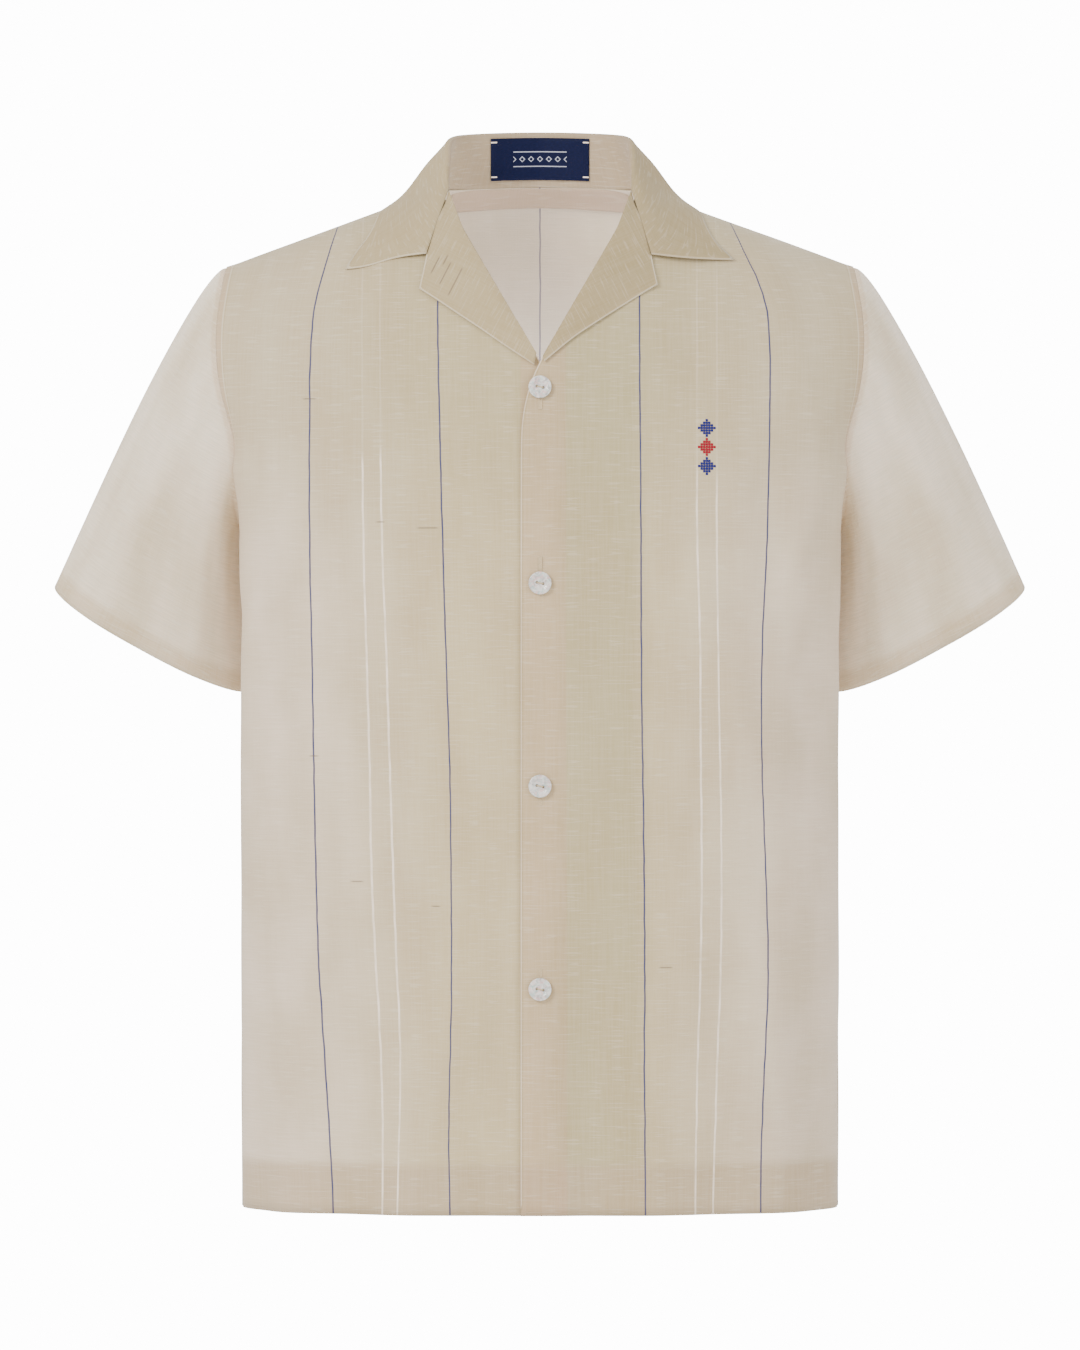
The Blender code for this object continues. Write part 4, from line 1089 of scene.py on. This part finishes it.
# %% [markdown]
# ## Sew on the buttons
# Each button solid gives its place and the way it faces: its flat face is the widest, so the direction in
# which its points spread least is its axis. The fine button, its thread and its buttonhole are turned to
# that, and moved out or in until they sit on the cloth.

# %% Place the buttons and buttonholes
BUTTON_TURN = 12.0  # degrees from level of the line through the holes
STANDOFF = 0.5 * MM
HOLE_DROPS = {1: -4.0, 2: 7.0, 3: -2.0, 4: 3.0}  # how far a buttonhole's middle is over its button's, in mm


def seat(node):
    """The place and turn of a button's solid, with z out of its face and x to the viewer's right."""
    points = points_of(frame["nodes"][node]) * MM
    middle = (points.min(0) + points.max(0)) / 2
    spread = np.linalg.eigh(np.cov((points - middle).T))[1]
    out = Vector(spread[:, 0])
    out = -out if out.y > 0 else out
    right = Vector((1, 0, 0))
    up = out.cross(right).normalized()
    return Vector(middle), Matrix((up.cross(out), up, out)).transposed()


def cloth_behind(place, out):
    """Where the line from a place against the way out meets the front's outer face."""
    return CLOTH["front_left"].ray_cast(place + out * 20 * MM, -out)[1]


def placed(pattern, name, place, turn, material):
    """A copy of a pattern with its own mesh, put in its place within the mesh."""
    copy = link(bpy.data.objects.new(name, pattern.data.copy()))
    copy.data.transform(Matrix.Translation(place) @ turn.to_4x4())
    copy.data.materials.clear()
    copy.data.materials.append(material)
    return copy


for number in (1, 2, 3, 4):
    middle, turn = seat(f"button_{number}")
    out, up = turn.col[2], turn.col[1]
    spin = turn @ Matrix.Rotation(math.radians(-BUTTON_TURN), 3, "Z")
    foot = cloth_behind(middle, out) + out * STANDOFF
    disc = placed(button, f"button_{number}_pearl", foot, spin, PEARL_FINISH)
    finish_piece(disc, "pearl", f"button_{number}")
    finish_piece(placed(staple, f"button_{number}_thread", foot, spin, CREAM_THREAD), "cloth")
    place = middle + up * HOLE_DROPS[number] * MM
    hole = placed(buttonhole, f"buttonhole_{number}", cloth_behind(place, out), turn, CREAM_THREAD)
    finish_piece(hole, "cloth")
    print(f"button {number}: {1000 * (middle - foot).length:.2f} mm from its solid's middle to its foot")
for pattern in (button, staple, buttonhole):
    bpy.data.objects.remove(pattern, do_unlink=True)

# %% [markdown]
# ## Chest embroidery
# Small inlaid motifs are common on this kind of shirt. This one is a plain column of three stepped diamonds
# in coloured thread between the two white lines. Each stitch is a small rounded pillow, modelled once as a
# bevelled box and copied, and the whole column is then laid on the cloth.

# %% Embroider the stepped diamonds
STITCH, STITCH_HEIGHT, STITCH_EDGE = 1.7 * MM, 0.6 * MM, 0.24 * MM
STITCH_FILL = 0.94  # share of its square that a stitch fills
STEPS = 3  # stitches from the middle of a diamond to its tip
DIAMONDS = ((-162.5, "blue"), (-175.0, "red"), (-187.5, "blue"))
EMBROIDERY_X = 109.0
THREADS = {
    "blue": thread("blue embroidery silk", "#1C2274", "#0E1244"),
    "red": thread("red embroidery silk", "#A80428", "#5E0410"),
}
stitch = shape("cube", "stitch_pattern", (STITCH * STITCH_FILL, STITCH_HEIGHT, STITCH * STITCH_FILL), size=1.0)
apply(stitch, "BEVEL", width=STITCH_EDGE, segments=2)
bpy.ops.object.shade_smooth()
for number, (height, shade) in enumerate(DIAMONDS, 1):
    copies = []
    for across in range(-STEPS, STEPS + 1):
        for up in range(abs(across) - STEPS, STEPS - abs(across) + 1):
            place = Vector((EMBROIDERY_X * MM + across * STITCH, -0.3, height * MM + up * STITCH))
            _, spot, normal, _ = CLOTH["front_left"].ray_cast(place, Vector((0, 1, 0)))
            turn = normal.to_track_quat("-Y", "Z").to_matrix()
            copies.append(placed(stitch, f"chest_diamond_{number}", spot, turn, THREADS[shade]))
    only(copies[0])
    for copy in copies:
        copy.select_set(True)
    bpy.ops.object.join()
    finish_piece(copies[0], "cloth")
    print(f"diamond {number}: {len(copies)} {shade} stitches")
bpy.data.objects.remove(stitch, do_unlink=True)

# %% [markdown]
# ## Camera
# The camera stands six metres in front, level with the middle of the view, so the sides of the shirt are
# seen almost straight on.

# %% Place the camera
CAMERA_DISTANCE, CAMERA_Z = 6.0, -0.324
FRAME_HEIGHT = 0.898  # of the upright plane through the origin
camera = link(bpy.data.objects.new("camera", bpy.data.cameras.new("camera")))
camera.location = (0, -CAMERA_DISTANCE, CAMERA_Z)
camera.rotation_euler = (math.pi / 2, 0, 0)
camera.data.sensor_width = 36
camera.data.lens = 36 * CAMERA_DISTANCE / FRAME_HEIGHT
bpy.context.scene.camera = camera
print(f"camera: {camera.data.lens:.0f} mm lens, {CAMERA_DISTANCE} m away")

# %% [markdown]
# ## Studio
# A pale round floor lies below the hem. The surround lights the shirt evenly from all sides, and is seen as
# brighter than it shines, as a white backdrop with its own lamps would be. A broad softbox at the upper
# left gives the folds their soft shade, and a weaker one fills in from the right.

# %% Light and floor
FLOOR_Z, FLOOR_RADIUS = -1.2, 5.0
SURROUND, BACKDROP = 1.27, 14.0  # strength as light, and as seen
floor = shape(
    "circle", "studio_floor", vertices=160, radius=FLOOR_RADIUS, fill_type="NGON", location=(0, 0, FLOOR_Z)
)
paper, _, _ = new_material("white seamless paper", Base_Color="#F4F4F2", Roughness=0.9)
floor.data.materials.append(paper)
world = bpy.data.worlds.new("white studio")
bpy.context.scene.world = world
world.use_nodes = True
background = world.node_tree.nodes["Background"]
background.inputs["Color"].default_value = (1, 1, 1, 1)
seen_directly = add(world.node_tree, "ShaderNodeLightPath").outputs["Is Camera Ray"]
strength = math_node(world.node_tree, "MULTIPLY_ADD", seen_directly, BACKDROP - SURROUND, SURROUND)
world.node_tree.links.new(strength, background.inputs["Strength"])


def softbox(name, place, size, power, target=(0, 0, -0.35)):
    lamp = bpy.data.lights.new(name, "AREA")
    lamp.shape, lamp.size, lamp.energy = "DISK", size, power
    holder = link(bpy.data.objects.new(name, lamp))
    holder.location = place
    holder.rotation_euler = (Vector(target) - Vector(place)).to_track_quat("-Z", "Y").to_euler()
    return lamp


softbox("key_softbox", (-2.0, -2.4, 1.3), 1.3, 108).color = (1.0, 0.98, 0.95)
softbox("fill_softbox", (2.4, -2.0, 0.2), 1.8, 30)

# %% [markdown]
# Much of a sheer shirt's inner light comes through its cloth. The cloth here is a solid wall, so a small
# soft lamp inside the chest stands for that light.

# %% Light that comes through the cloth
glow = bpy.data.lights.new("light_through_cloth", "POINT")
glow.energy, glow.shadow_soft_size, glow.color = 1.55, 0.06, (0.7, 0.8, 1.0)
link(bpy.data.objects.new("light_through_cloth", glow)).location = (0, -0.02, -0.16)
